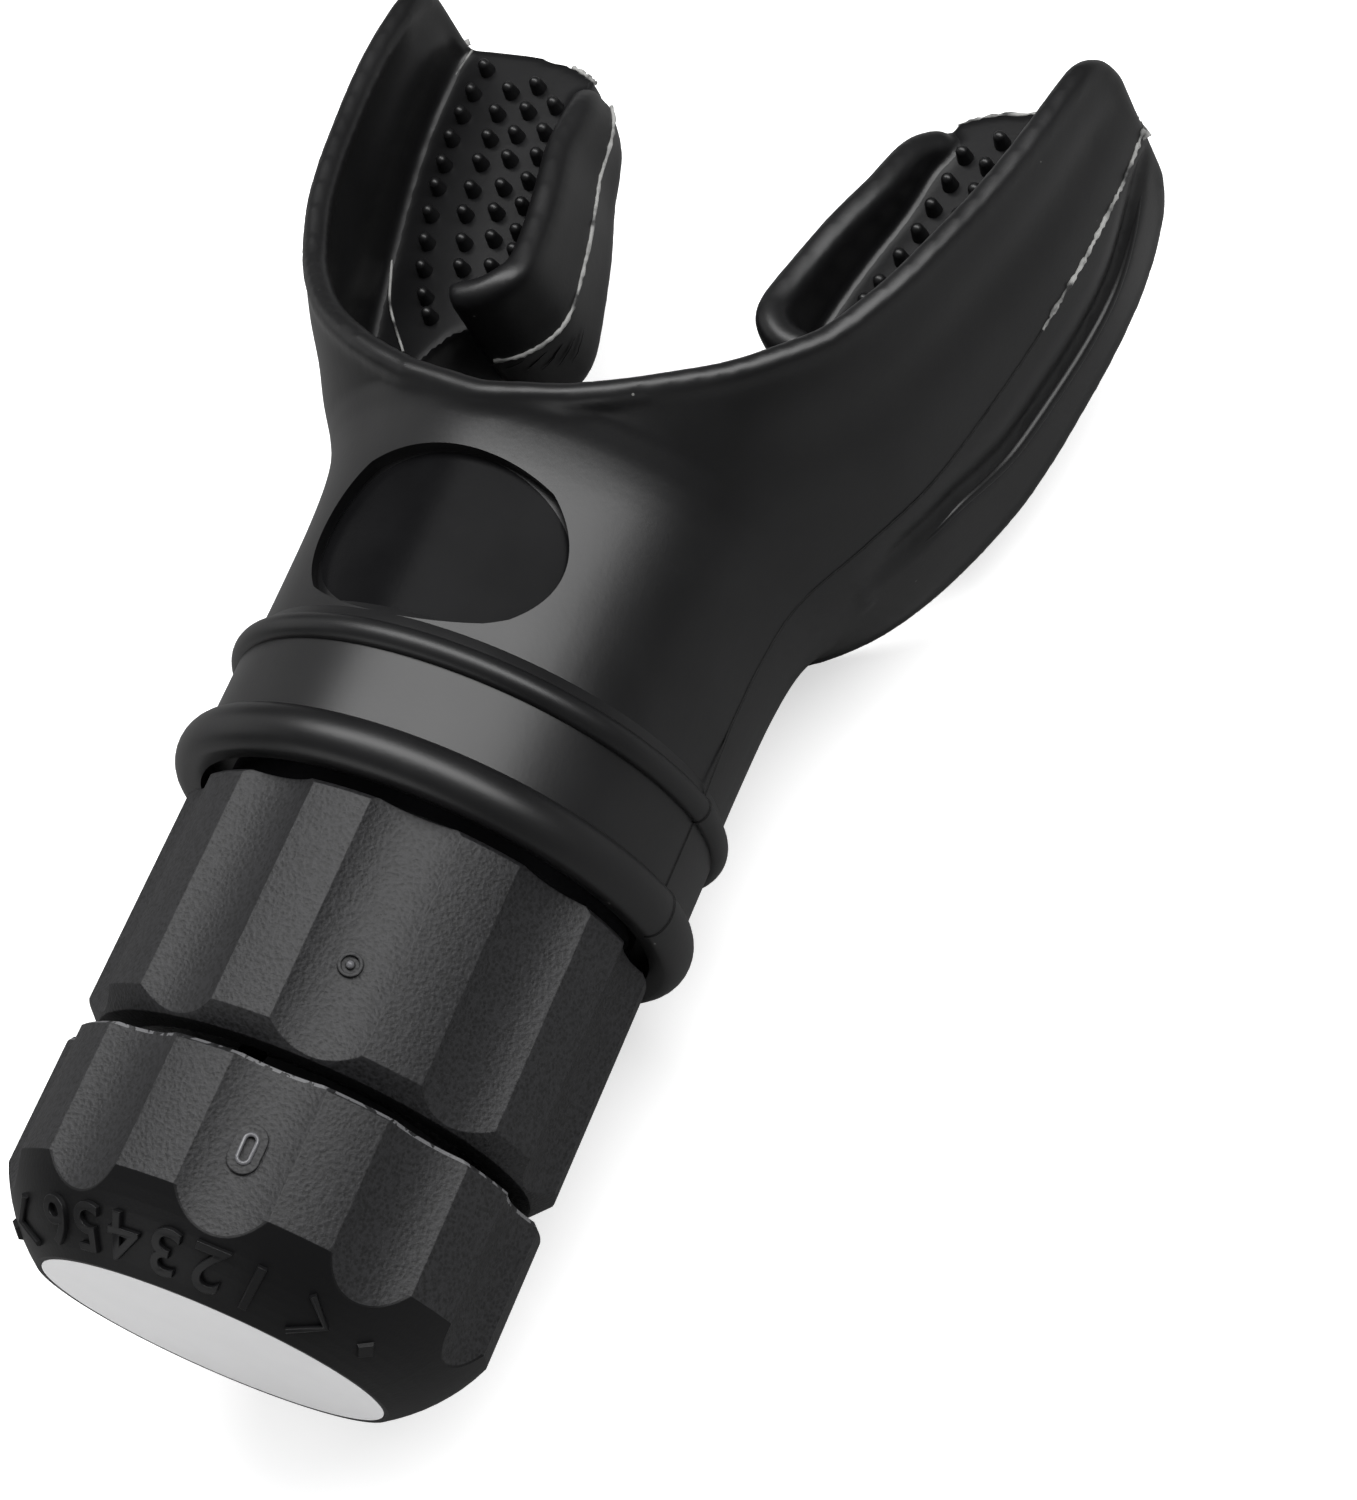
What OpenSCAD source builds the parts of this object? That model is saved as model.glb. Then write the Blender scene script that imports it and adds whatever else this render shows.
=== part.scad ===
// Breathing trainer: a rubber bite mouthpiece on a fluted barrel, with a screw cap that sets the air gap.
// The airway runs along +Y, from the end face of the cap to the bite wings. The side with the oval pocket is +Z.
// The origin is the centre of the cap's end face. Sizes are in millimetres.

/* [Barrel] */
// Radius over the lands of the barrel
land_r = 15.9; // [14.5:0.1:18]
// Length of the barrel between its end faces
barrel_l = 16.3; // [14:0.1:22]
// Chamfer at the barrel's end by the cap
barrel_chamfer = 1.2; // [0.4:0.1:1.6]
// Chamfer at the barrel's end by the mouthpiece
barrel_edge = 0.3; // [0.1:0.05:0.8]
// Number of flutes round the barrel and the cap
flute_count = 10; // [8:1:12]
// Depth of a flute below the lands
flute_depth = 1.05; // [0.8:0.05:1.3]
// Share of each pitch that the flute takes
flute_share = 0.6; // [0.5:0.05:0.65]
// Direction of one barrel flute, from +X toward +Z, in degrees
barrel_turn = 63.5; // [0:0.5:90]

/* [Cap] */
// Length of the cap from its end face to its inner rim
cap_l = 13.8; // [11:0.1:18]
// How far the cap's lands stand out past the barrel's
cap_step = 0.15; // [0:0.05:0.6]
// Radius of the flat end face
cap_face_r = 11.8; // [11.5:0.1:13.5]
// Length of the cone between the end face and the lands
cone_l = 5.1; // [4:0.1:7]
// Direction of one cap flute, from +X toward +Z, in degrees
cap_turn = 67; // [0:0.5:90]
// Radius of the round label
label_r = 11.4; // [9:0.1:11.4]
// Thickness of the label
label_t = 0.3; // [0.2:0.05:0.6]

/* [Valve] */
// Air gap between the cap and the barrel as set
valve_gap = 1.3; // [1:0.1:2]
// Travel from the set gap toward open
open_travel = 4; // [2:0.5:5]
// Outer radius of the valve stem
stem_r = 9.2; // [8.4:0.1:9.6]
// Wall of the valve stem
stem_wall = 1.8; // [1.6:0.1:2.2]
// Number of air windows in the stem
window_count = 3; // [2:1:4]
// Length of an air window
window_l = 6.5; // [5:0.1:7]
// Width of an air window at its wide end
window_w = 5; // [3:0.1:6]

/* [Mouthpiece] */
// Outer radius of the rubber neck between the beads
neck_r = 16.65; // [16:0.05:18]
// Radius of the spigot that the neck is pushed on
spigot_r = 13.6; // [13:0.1:14]
// Distance from the barrel to the round end of the neck
neck_l = 14.6; // [14:0.1:16]
// Distance from the round end of the neck to the wing tips
wing_l = 50.2; // [44:0.2:60]
// Half width over both wings
wing_half = 27.9; // [25:0.1:32]
// Wall of the lip shield and of the outer wings
shield_wall = 1.6; // [1.2:0.1:2]
// Radius of the rounded rim
rim_r = 0.95; // [0.85:0.05:1.2]
// Height of the shield's rim above the middle plane, in front
rim_front_h = 16.9; // [16:0.1:17.5]
// Height of the wing's rim above the middle plane, near the tip
rim_tip_h = 9.3; // [8:0.1:10]
// Thickness of the bite web
web_t = 2.3; // [1.8:0.1:3]
// Height of the inner bite wall above the middle plane
inner_wall_h = 6.8; // [5:0.1:7.5]

/* [Pocket] */
// Half width of the oval pocket across the neck
pocket_half_w = 9.1; // [6:0.1:9.5]
// Half length of the oval pocket along the neck
pocket_half_l = 6; // [4:0.1:6.5]
// Depth of the oval pocket
pocket_depth = 0.6; // [0.3:0.05:1]

/* [Hidden] */

// clearances and the overrun of cuts
run_fit = 0.07;
seat_fit = 0.02;
face_fit = 0.05;
over = 1;

// places along the airway
barrel_y = cap_l + valve_gap;
barrel_end = barrel_y + barrel_l;
neck_end = barrel_end + neck_l;
tip_y = neck_end + wing_l;
cap_r = land_r + cap_step;
flute_half = 180 / flute_count * flute_share;

// guide, collar and barbed spigot of the tube inside the barrel
tube_wall = 3.3;
tube_r = stem_r + run_fit + tube_wall;
tube_inset = 0.6;
guide_inset = 3.2;
guide_end = barrel_end - guide_inset;
collar_step = 0.45;
collar_r = spigot_r + collar_step;
collar_t = 2.5;
spigot_l = 17.2;
spigot_wall = 2.6;
barb_h = 0.45;
barb_half = 1.3;
barb_at = 12.4;

// flat and round parts of the cap
cap_edge = 0.3;
cone_bulge = 0.45;
cap_floor = 2.6;
hub_wall = 1.6;
skirt_wall = 1.8;
hub_drop = 1.2;
stem_floor = 3;
window_lead = 0.2;
window_y = cap_l + window_lead;
window_tip_w = 1.2;

// drag ring and retaining ring
drag_r = 0.6;
groove_r = stem_r + run_fit - seat_fit - 2 * drag_r - face_fit;
drag_gap = 2.2;
drag_y = window_y + window_l + drag_gap;
clip_t = 1.2;
clip_depth = 0.7;
clip_out = 1.1;
clip_slot = 4;
stem_lip = 1.4;
clip_y = guide_end + open_travel + face_fit;
stem_end = clip_y + clip_t + stem_lip;

// raised index marks on the flutes
mark_r = 0.78;
mark_ring_share = 0.72;
mark_dot_share = 0.36;
mark_rise = 0.22;
mark_at = 6.2;
cap_mark_half_l = 0.55;
cap_mark_r = 1;
cap_mark_y = 8.7;
slot_r = 0.32;

// neck beads: height, half length, and the plain band between them
lip_gap = 0.7;
lip_wall = 1.05;
recess_gap = 0.3;
bead_h = 1.25;
bead_half = 1.7;
band_l = 4.75;
bead2_h = 0.75;
bead2_half = 0.9;
bead_y = barrel_end + lip_gap + bead_half;
bead2_y = bead_y + bead_half + band_l + bead2_half;
body_step = 0.3;
body_r = neck_r - body_step;
neck_start = barrel_end + collar_t + recess_gap;
pocket_offset = 2.9;

// outer form of the shield and wings, as shares of the length, of the widening and of the deepening
plan_y_shares = [-0.1, 0, 0.12, 0.2, 0.25, 0.31, 0.42, 0.6, 0.8, 1, 1.1];
plan_x_shares = [0, 0, 0.018, 0.075, 0.18, 0.335, 0.575, 0.785, 0.955, 1, 1];
deep_y_shares = [-0.1, 0, 0.12, 0.2, 0.25, 0.305, 0.355, 0.4, 0.445, 0.5, 0.56, 0.65, 1, 1.1];
deep_z_shares = [0, 0, 0.004, 0.02, 0.06, 0.21, 0.34, 0.43, 0.545, 0.7, 0.89, 1, 1, 1];
envelope_half_h = 38;
share_step = 0.01;
mouth_face_share = 0.22;
mouth_half_w = 11;
mouth_half_h = 6;
loft_steps = 20;
ring_steps = 48;

// rim line, and the corner at the wing tip
rim_y_shares = [0.12, 0.2, 0.251, 0.305, 0.355, 0.4, 0.445, 0.5, 0.56, 0.62, 0.69, 0.77, 0.84, 0.91];
rim_z_shares = [1.08, 1.04, 1, 0.92, 0.77, 0.655, 0.54, 0.48, 0.42, 0.355, 0.265, 0.18, 0.1, 0];
rim_front_share = 0.251;
tip_corner = 3.4;
tip_inset = 1.5;
tip_in = tip_y - tip_inset;
rim_back_share = (tip_in - tip_corner - neck_end) / wing_l;
rim_angles = [88, 82, 76, 70, 64, 58, 52, 46, 40, 34, 29];
rim_sides = 8;
rim_steps = 24;

// bite web and inner wall of one wing, as shares of the half width and of the length
web_in_shares = [[0.63, 0.27], [0.63, 0.43], [0.6, 0.485], [0.54, 0.516], [0.44, 0.534],
    [0.395, 0.578], [0.41, 0.657], [0.465, 0.797], [0.5, 0.896]];
web_tip_shares = [[0.52, 0.95], [0.6, 0.968], [0.74, 0.982], [0.86, 0.982]];
web_root_share = 0.25;
web_end_share = 0.982;
crest_shares = [[0.502, 0.512], [0.423, 0.524], [0.373, 0.55], [0.358, 0.584], [0.38, 0.651],
    [0.412, 0.723], [0.452, 0.797], [0.477, 0.8745], [0.523, 0.92]];
crest_h_shares = [0.97, 1, 1, 0.94, 0.855, 0.79, 0.69, 0.53, 0.3];
crest_half = 1;
inner_bulge = 0.5;
crest_steps = 18;
web_steps = 14;

// Puts the Z axis of its children along the airway.
module along(y = 0) {
    translate([0, y, 0]) rotate([-90, 0, 0]) children();
}

// Turns its children round the airway, from +X toward +Z.
module turned(angle) {
    rotate([0, -angle, 0]) children();
}

// Points of an elliptic arc.
function arc(cx, cy, rx, ry, from, to, steps) =
    [for (i = [0 : steps]) let (t = from + (to - from) * i / steps) [cx + rx * cos(t), cy + ry * sin(t)]];

// Points from one place to another along a line that bulges to its right by h.
function bulged(from, to, h, steps) =
    let (d = to - from, out = [d[1], -d[0]] / norm(d))
    [for (i = [0 : steps]) let (t = i / steps) from + d * t + out * h * 4 * t * (1 - t)];

// Index of the span of a rising list that holds a value.
function span(list, v, i = 0) = i >= len(list) - 2 || v < list[i + 1] ? i : span(list, v, i + 1);

// Smooth curve through points given by two lists, of places and of values.
function smooth(xs, vs, x) =
    let (i = span(xs, x), n = len(xs) - 1, t = (x - xs[i]) / (xs[i + 1] - xs[i]),
        a = max(i - 1, 0), d = min(i + 2, n),
        m0 = (vs[i + 1] - vs[a]) / (xs[i + 1] - xs[a]) * (xs[i + 1] - xs[i]),
        m1 = (vs[d] - vs[i]) / (xs[d] - xs[i]) * (xs[i + 1] - xs[i]))
    (2 * t ^ 3 - 3 * t ^ 2 + 1) * vs[i] + (t ^ 3 - 2 * t ^ 2 + t) * m0
    + (3 * t ^ 2 - 2 * t ^ 3) * vs[i + 1] + (t ^ 3 - t ^ 2) * m1;

// Smooth curve through plan points, at a share s of the list.
function path_at(points, s) =
    let (n = len(points) - 1, xs = [for (i = [0 : n]) i / n])
    [smooth(xs, [for (p = points) p[0]], s), smooth(xs, [for (p = points) p[1]], s)];

// Body sizes at a share of the wing length past the neck.
function half_w(s) = body_r + (wing_half - body_r) * smooth(plan_y_shares, plan_x_shares, s);
function half_h(s) = body_r + (envelope_half_h - body_r) * smooth(deep_y_shares, deep_z_shares, s);
function at_y(s) = neck_end + wing_l * s;
function slope(s) = (half_w(s + share_step) - half_w(s - share_step)) / (2 * share_step * wing_l);
function inner_half_w(s) = half_w(s) - shield_wall * sqrt(1 + slope(s) ^ 2);

// Closed skin over rings that all have the same number of points.
module skin(rings) {
    n = len(rings[0]);
    m = len(rings);
    sides = [for (j = [0 : m - 2]) for (i = [0 : n - 1]) let (k = (i + 1) % n)
        each [[j * n + i, j * n + k, (j + 1) * n + k], [j * n + i, (j + 1) * n + k, (j + 1) * n + i]]];
    ends = [[for (i = [n - 1 : -1 : 0]) i], [for (i = [0 : n - 1]) (m - 1) * n + i]];
    polyhedron([for (r = rings) each r], concat(sides, ends), convexity = 6);
}

// Elliptic ring across the airway.
function oval(y, rx, rz, n) = [for (i = [0 : n - 1]) let (t = 360 * i / n) [rx * cos(t), y, rz * sin(t)]];

// Flute cutters between two places along the airway.
module flutes(r, turn, from, to) {
    chord = r * sin(flute_half);
    sag = flute_depth - r * (1 - cos(flute_half));
    cut_r = (chord ^ 2 + sag ^ 2) / (2 * sag);
    for (i = [0 : flute_count - 1])
        turned(turn + i * 360 / flute_count)
            translate([r - flute_depth + cut_r, 0, 0])
                along(from) cylinder(r = cut_r, h = to - from, $fn = 96);
}

module barrel() {
    color("#2b2b2d") {
        difference() {
            along(barrel_y) rotate_extrude($fn = 128) polygon([
                [tube_r + seat_fit, 0],
                [land_r - barrel_chamfer, 0],
                [land_r, barrel_chamfer],
                [land_r, barrel_l - barrel_edge],
                [land_r - barrel_edge, barrel_l],
                [tube_r + seat_fit, barrel_l]]);
            flutes(land_r, barrel_turn, barrel_y - over, barrel_end + over);
        }
        // raised index mark: a ring with a tiny centre
        turned(barrel_turn) translate([land_r - flute_depth, barrel_y + mark_at, 0]) rotate([0, 90, 0])
            difference() {
                translate([0, 0, -mark_rise]) cylinder(r = mark_r, h = 2 * mark_rise, $fn = 48);
                difference() {
                    cylinder(r = mark_r * mark_ring_share, h = over, $fn = 48);
                    cylinder(r = mark_r * mark_dot_share, h = mark_rise, $fn = 32);
                }
            }
    }
}

module airway_tube() {
    color("#17171a") along() rotate_extrude($fn = 128) polygon(concat([
        [stem_r + run_fit, barrel_y + tube_inset],
        [tube_r, barrel_y + tube_inset],
        [tube_r, barrel_end],
        [collar_r, barrel_end],
        [collar_r, barrel_end + collar_t],
        [spigot_r, barrel_end + collar_t]],
        arc(spigot_r, barrel_end + barb_at, barb_h, barb_half, -90, 90, 8), [
        [spigot_r, barrel_end + spigot_l],
        [spigot_r - spigot_wall, barrel_end + spigot_l],
        [spigot_r - spigot_wall, guide_end],
        [stem_r + run_fit, guide_end]]));
}

module drag_ring() {
    color("#101010") along(drag_y) rotate_extrude($fn = 96)
        translate([stem_r + run_fit - drag_r - seat_fit, 0]) circle(r = drag_r, $fn = 32);
}

// Tapered air window through the stem wall, narrow toward the cap.
module window_cut() {
    translate([0, window_y, 0]) linear_extrude(stem_r + over) polygon([
        [-window_tip_w / 2, 0],
        [window_tip_w / 2, 0],
        [window_w / 2, window_l],
        [-window_w / 2, window_l]]);
}

module valve_stem() {
    color("#232326") difference() {
        along() rotate_extrude($fn = 96) polygon([
            [0, cap_floor],
            [stem_r, cap_floor],
            [stem_r, drag_y - drag_r - face_fit],
            [groove_r, drag_y - drag_r - face_fit],
            [groove_r, drag_y + drag_r + face_fit],
            [stem_r, drag_y + drag_r + face_fit],
            [stem_r, clip_y],
            [stem_r - clip_depth, clip_y],
            [stem_r - clip_depth, clip_y + clip_t],
            [stem_r, clip_y + clip_t],
            [stem_r, stem_end],
            [stem_r - stem_wall, stem_end],
            [stem_r - stem_wall, cap_floor + stem_floor],
            [0, cap_floor + stem_floor]]);
        for (i = [0 : window_count - 1]) turned(i * 360 / window_count) window_cut();
    }
}

module retaining_ring() {
    color("#8a8c90") difference() {
        along(clip_y) rotate_extrude($fn = 96) polygon([
            [stem_r - clip_depth + seat_fit, seat_fit],
            [stem_r + clip_out, seat_fit],
            [stem_r + clip_out, clip_t - seat_fit],
            [stem_r - clip_depth + seat_fit, clip_t - seat_fit]]);
        translate([-clip_slot / 2, clip_y - over, 0]) cube([clip_slot, clip_t + 2 * over, stem_r + clip_out + over]);
    }
}

module adjusting_cap() {
    color("#2b2b2d") {
        difference() {
            along() rotate_extrude($fn = 128) polygon(concat([
                [0, label_t],
                [label_r + face_fit, label_t],
                [label_r + face_fit, 0]],
                bulged([cap_face_r, 0], [cap_r, cone_l], cone_bulge, 8), [
                [cap_r, cap_l - cap_edge],
                [cap_r - cap_edge, cap_l],
                [cap_r - flute_depth - skirt_wall, cap_l],
                [cap_r - flute_depth - skirt_wall, cone_l],
                [stem_r + hub_wall, cone_l],
                [stem_r + hub_wall, cap_l - hub_drop],
                [stem_r + seat_fit, cap_l - hub_drop],
                [stem_r + seat_fit, cap_floor],
                [0, cap_floor]]));
            flutes(cap_r, cap_turn, -over, cap_l + over);
        }
        // raised index mark: an oval pad with a slot
        turned(cap_turn) translate([cap_r - flute_depth, cap_mark_y, 0]) rotate([0, 90, 0])
            difference() {
                translate([0, 0, -mark_rise]) long_pad(cap_mark_r, cap_mark_half_l, 2 * mark_rise);
                long_pad(slot_r, cap_mark_half_l, over);
            }
    }
}

// Pad with round ends, long along the airway.
module long_pad(r, half, h) {
    linear_extrude(h) union() {
        translate([0, -half]) circle(r = r, $fn = 48);
        translate([0, half]) circle(r = r, $fn = 48);
        square([2 * r, 2 * half], center = true);
    }
}

module end_label() {
    color("#f2f2f2") along(0) cylinder(r = label_r, h = label_t - seat_fit, $fn = 96);
}

// Outer form of the shield and the wings from under the second bead, deeper than the rim leaves it.
module body_loft() {
    last = 1 + share_step;
    shares = concat([(bead2_y - neck_end) / wing_l], [for (j = [0 : loft_steps]) last * (j / loft_steps) ^ 0.9]);
    skin([for (s = shares) oval(at_y(s), half_w(s), half_h(s), ring_steps)]);
}

// Space inside the shield wall, from its mouth face to past the tips.
module mouth_space() {
    last = 1 + 2 * share_step;
    skin([for (j = [0 : loft_steps]) let (s = mouth_face_share + (last - mouth_face_share) * j / loft_steps)
        oval(at_y(s), inner_half_w(s), half_h(s) - shield_wall, ring_steps)]);
}

// Height of the rim above the middle plane.
function rim_h(s) = rim_tip_h + (rim_front_h - rim_tip_h) * smooth(rim_y_shares, rim_z_shares, s);

// Side view of the shield: the rim line and the round corner at the tip.
module side_profile() {
    line = [for (i = [0 : rim_steps])
        let (s = rim_front_share + (rim_back_share - rim_front_share) * i / rim_steps)
        [at_y(s), rim_h(s)]];
    corner = arc(tip_in - tip_corner, rim_tip_h - tip_corner, tip_corner, tip_corner, 75, 0, 5);
    half = concat([[bead2_y - over, envelope_half_h], [at_y(rim_front_share), envelope_half_h]], line, corner);
    rotate([90, 0, 90]) translate([0, 0, -wing_half - over]) linear_extrude(2 * (wing_half + over))
        polygon(concat(half, back([for (p = half) [p[0], -p[1]]])));
}

// Point in the middle of the wall, at a share of the length and a height.
function on_wall(s, z) =
    let (w = (half_w(s) + inner_half_w(s)) / 2, h = half_h(s) - shield_wall / 2)
    [w * sqrt(max(0, 1 - (z / h) ^ 2)), at_y(s), z];

// Share of the length where the rim meets the wall at an angle round the airway.
function rim_share(angle, low, high, n = 22) =
    let (mid = (low + high) / 2)
    n == 0 ? mid
    : (half_h(mid) - shield_wall / 2) * sin(angle) < rim_h(mid) ? rim_share(angle, mid, high, n - 1)
    : rim_share(angle, low, mid, n - 1);

// Middle of the rim's roll, from the front over the tip and back under the wing.
function back(list) = [for (i = [len(list) - 1 : -1 : 0]) list[i]];
front_shares = [for (a = rim_angles) rim_share(a, rim_front_share - 2 * share_step, rim_back_share)];
last_front = front_shares[len(front_shares) - 1];
side_shares = [for (i = [1 : 9]) last_front + (rim_back_share - last_front) * i / 9];
corner_z = rim_tip_h - tip_corner;
rim_right = concat(
    [for (s = concat(front_shares, side_shares)) on_wall(s, rim_h(s))],
    [for (a = [75 : -15 : 0])
        on_wall(rim_back_share + tip_corner * cos(a) / wing_l, corner_z + tip_corner * sin(a))],
    [for (k = [0.5, 0]) on_wall(rim_back_share + tip_corner / wing_l, corner_z * k)]);
rim_top = concat(back([for (p = rim_right) [-p[0], p[1], p[2]]]), rim_right);
rim_loop = concat(rim_top, back([for (i = [1 : len(rim_top) - 2]) let (p = rim_top[i]) [p[0], p[1], -p[2]]]));

// Closed round tube along a loop of points, drawn in square to the loop at each point.
module loop_tube(points, r, sides) {
    n = len(points);
    rings = [for (i = [0 : n - 1])
        let (d = points[(i + 1) % n] - points[(i + n - 1) % n], t = d / norm(d),
            u0 = cross(t, [points[i][0], 0, points[i][2]]), u = u0 / norm(u0), v = cross(t, u))
        [for (k = [0 : sides - 1]) points[i] + r * (cos(360 * k / sides) * u + sin(360 * k / sides) * v)]];
    faces = [for (i = [0 : n - 1]) for (k = [0 : sides - 1])
        let (a = i * sides + k, b = i * sides + (k + 1) % sides,
            c = ((i + 1) % n) * sides + (k + 1) % sides, e = ((i + 1) % n) * sides + k)
        each [[a, c, b], [a, e, c]]];
    polyhedron([for (ring = rings) each ring], faces, convexity = 8);
}

// Bite web of the right wing, in the middle plane.
module web() {
    outer = [for (i = [0 : web_steps])
        let (s = web_end_share + (web_root_share - web_end_share) * i / web_steps)
        [(half_w(s) + inner_half_w(s)) / 2, at_y(s)]];
    inner = [for (i = [0 : web_steps]) let (p = path_at(web_in_shares, i / web_steps))
        [wing_half * p[0], at_y(p[1])]];
    edge = [for (p = web_tip_shares) [wing_half * p[0], at_y(p[1])]];
    root_y = at_y(mouth_face_share) - shield_wall / 2;
    root = [[inner_half_w(mouth_face_share), root_y], [inner[0][0], root_y]];
    translate([0, 0, -web_t / 2]) linear_extrude(web_t) polygon(concat(inner, edge, outer, root));
}

// Half section of the inner bite wall, from the crest down its side to the middle plane.
function wall_side(h) = concat(
    [for (k = [0 : 5]) let (t = 90 * k / 5) [crest_half * sin(t), h - crest_half * (1 - cos(t))]],
    [for (k = [1 : 3]) let (t = k / 4) [crest_half + inner_bulge * (1 - (1 - t) ^ 2), (h - crest_half) * (1 - t)]]);

// Inner bite wall of the right wing: a ridge above and below the web, curled at its front end.
module inner_wall() {
    places = [for (i = [0 : len(crest_h_shares) - 1]) i / (len(crest_h_shares) - 1)];
    skin([for (i = [0 : crest_steps])
        let (s = i / crest_steps, h = inner_wall_h * smooth(places, crest_h_shares, s), side = wall_side(h),
            p = path_at(crest_shares, s),
            q = path_at(crest_shares, min(1, s + share_step)) - path_at(crest_shares, max(0, s - share_step)),
            d = [wing_half * q[0], wing_l * q[1]], t = d / norm(d),
            section = concat(
                side,
                [[crest_half + inner_bulge, 0]],
                back([for (c = side) [c[0], -c[1]]]),
                [for (i = [1 : len(side) - 1]) [-min(crest_half, side[i][0]), -side[i][1]]],
                [[-crest_half, 0]],
                back([for (i = [1 : len(side) - 1]) [-min(crest_half, side[i][0]), side[i][1]]])))
        [for (c = section) [wing_half * p[0] - t[1] * c[0], at_y(p[1]) + t[0] * c[0], c[1]]]]);
}

// Both wings from the right one.
module both() {
    children();
    mirror([1, 0, 0]) children();
}

module neck() {
    along() rotate_extrude($fn = 72) polygon(concat(
        [[0, neck_start],
        [neck_r - lip_wall, neck_start],
        [neck_r - lip_wall, bead_y - bead_half]],
        arc(neck_r, bead_y, bead_h, bead_half, -90, 90, 8),
        arc(neck_r, bead2_y, bead2_h, bead2_half, -90, 90, 6),
        [[0, bead2_y + bead2_half]]));
}

// Passage through the neck and the shield: round with the barb's groove at the spigot, oval at the mouth.
module passage() {
    bore = spigot_r + face_fit;
    bore_end = barrel_end + spigot_l + face_fit;
    mouth_y = at_y(mouth_face_share) + over;
    inner = spigot_r - spigot_wall;
    along() rotate_extrude($fn = 60) polygon(concat(
        [[0, neck_start - over],
        [bore, neck_start - over]],
        arc(bore, barrel_end + barb_at, barb_h, barb_half + face_fit, -90, 90, 6),
        [[bore, bore_end],
        [0, bore_end]]));
    skin([for (j = [0 : 6]) let (e = (1 - cos(180 * j / 6)) / 2)
        oval(bore_end - face_fit + (mouth_y - bore_end + face_fit) * j / 6,
            inner + (mouth_half_w - inner) * e, inner + (mouth_half_h - inner) * e, 36)]);
}

// Oval pocket on the upper side, with a floor that follows the neck.
module pocket() {
    centre_y = neck_end + pocket_offset;
    difference() {
        translate([0, centre_y, 0]) linear_extrude(neck_r + 2 * over) scale([pocket_half_w / pocket_half_l, 1])
            circle(r = pocket_half_l, $fn = 48);
        along(centre_y - pocket_half_l - over)
            cylinder(r = body_r - pocket_depth, h = 2 * (pocket_half_l + over), $fn = 72);
    }
}

module mouthpiece() {
    color("#262627") difference() {
        union() {
            neck();
            difference() {
                intersection() {
                    body_loft();
                    side_profile();
                }
                mouth_space();
            }
            loop_tube(rim_loop, rim_r, rim_sides);
            both() {
                web();
                inner_wall();
            }
        }
        passage();
        pocket();
    }
}

mouthpiece();
barrel();
airway_tube();
drag_ring();
valve_stem();
retaining_ring();
adjusting_cap();
end_label();
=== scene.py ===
import math
import random
from itertools import product

import bmesh
import bpy
from mathutils import Matrix, Vector


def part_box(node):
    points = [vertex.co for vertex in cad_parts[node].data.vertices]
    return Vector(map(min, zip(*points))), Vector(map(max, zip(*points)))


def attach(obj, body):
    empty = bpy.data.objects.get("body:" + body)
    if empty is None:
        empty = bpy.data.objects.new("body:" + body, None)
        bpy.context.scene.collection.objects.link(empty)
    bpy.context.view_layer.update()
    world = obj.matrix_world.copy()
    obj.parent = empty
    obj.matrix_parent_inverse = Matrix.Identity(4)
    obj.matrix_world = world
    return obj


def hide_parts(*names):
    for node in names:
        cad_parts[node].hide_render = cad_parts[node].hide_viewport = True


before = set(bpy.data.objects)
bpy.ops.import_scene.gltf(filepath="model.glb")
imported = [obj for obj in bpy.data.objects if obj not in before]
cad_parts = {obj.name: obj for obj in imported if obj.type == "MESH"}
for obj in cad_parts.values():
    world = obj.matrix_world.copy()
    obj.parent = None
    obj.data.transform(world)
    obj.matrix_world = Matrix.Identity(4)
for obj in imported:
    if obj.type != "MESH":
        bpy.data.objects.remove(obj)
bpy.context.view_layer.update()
MM = 0.001

# The camera, as found from the rings, the rim and the wings in the photograph
LENS = 88.03
CAMERA_AT = Vector((125.41, -33.87, 188.51))
CAMERA_RIGHT = Vector((0.85713, 0.3766, -0.35143))
CAMERA_UP = Vector((-0.18605, 0.86254, 0.47053))
CAMERA_BACK = Vector((0.48033, -0.33792, 0.80938))
LAMP_AIM = Vector((0, 50, 0))

# The rubber neck: radii and places along the airway, in millimetres
NECK_R = 16.65
BODY_R = 16.35
BORE_R = 13.65
RECESS_R = 15.6
RECESS_FLOOR = 34.2
# Each bead: place, half length and height
BEAD_1 = (33.8, 1.7, 1.25)
BEAD_2 = (41.14, 0.9, 0.75)
# Where the neck ends and the wings' length starts
NECK_END = 46.0

# The shield and the wings, in millimetres; the corners are the rim's radii at a wing tip
WING_LENGTH = 50.2
HALF_WIDTH = 27.9
DEEPEST = 38.0
WALL = 1.6
RIM_R = 0.95
RIM_FRONT_HEIGHT = 16.9
RIM_TIP_HEIGHT = 9.3
UPPER_CORNER = 3.5
LOWER_CORNER = 5.2
TIP_INSET = 1.5

VOXEL = 0.36

# Shares of the wing length at which the shield starts, the rim leaves the middle and the rim ends
SHIELD_START = (BEAD_2[0] - NECK_END) / WING_LENGTH
RIM_FRONT = 0.251
RIM_END = 1 - TIP_INSET / WING_LENGTH
# Share of the rim's steps that is even; the rest get shorter toward the tip
EVEN_STEPS = 0.35

# The solid round the passage: where it ends, and how far it lies inside the outer form
CORE_END = 0.22
CORE_INSET = 0.4

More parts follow.
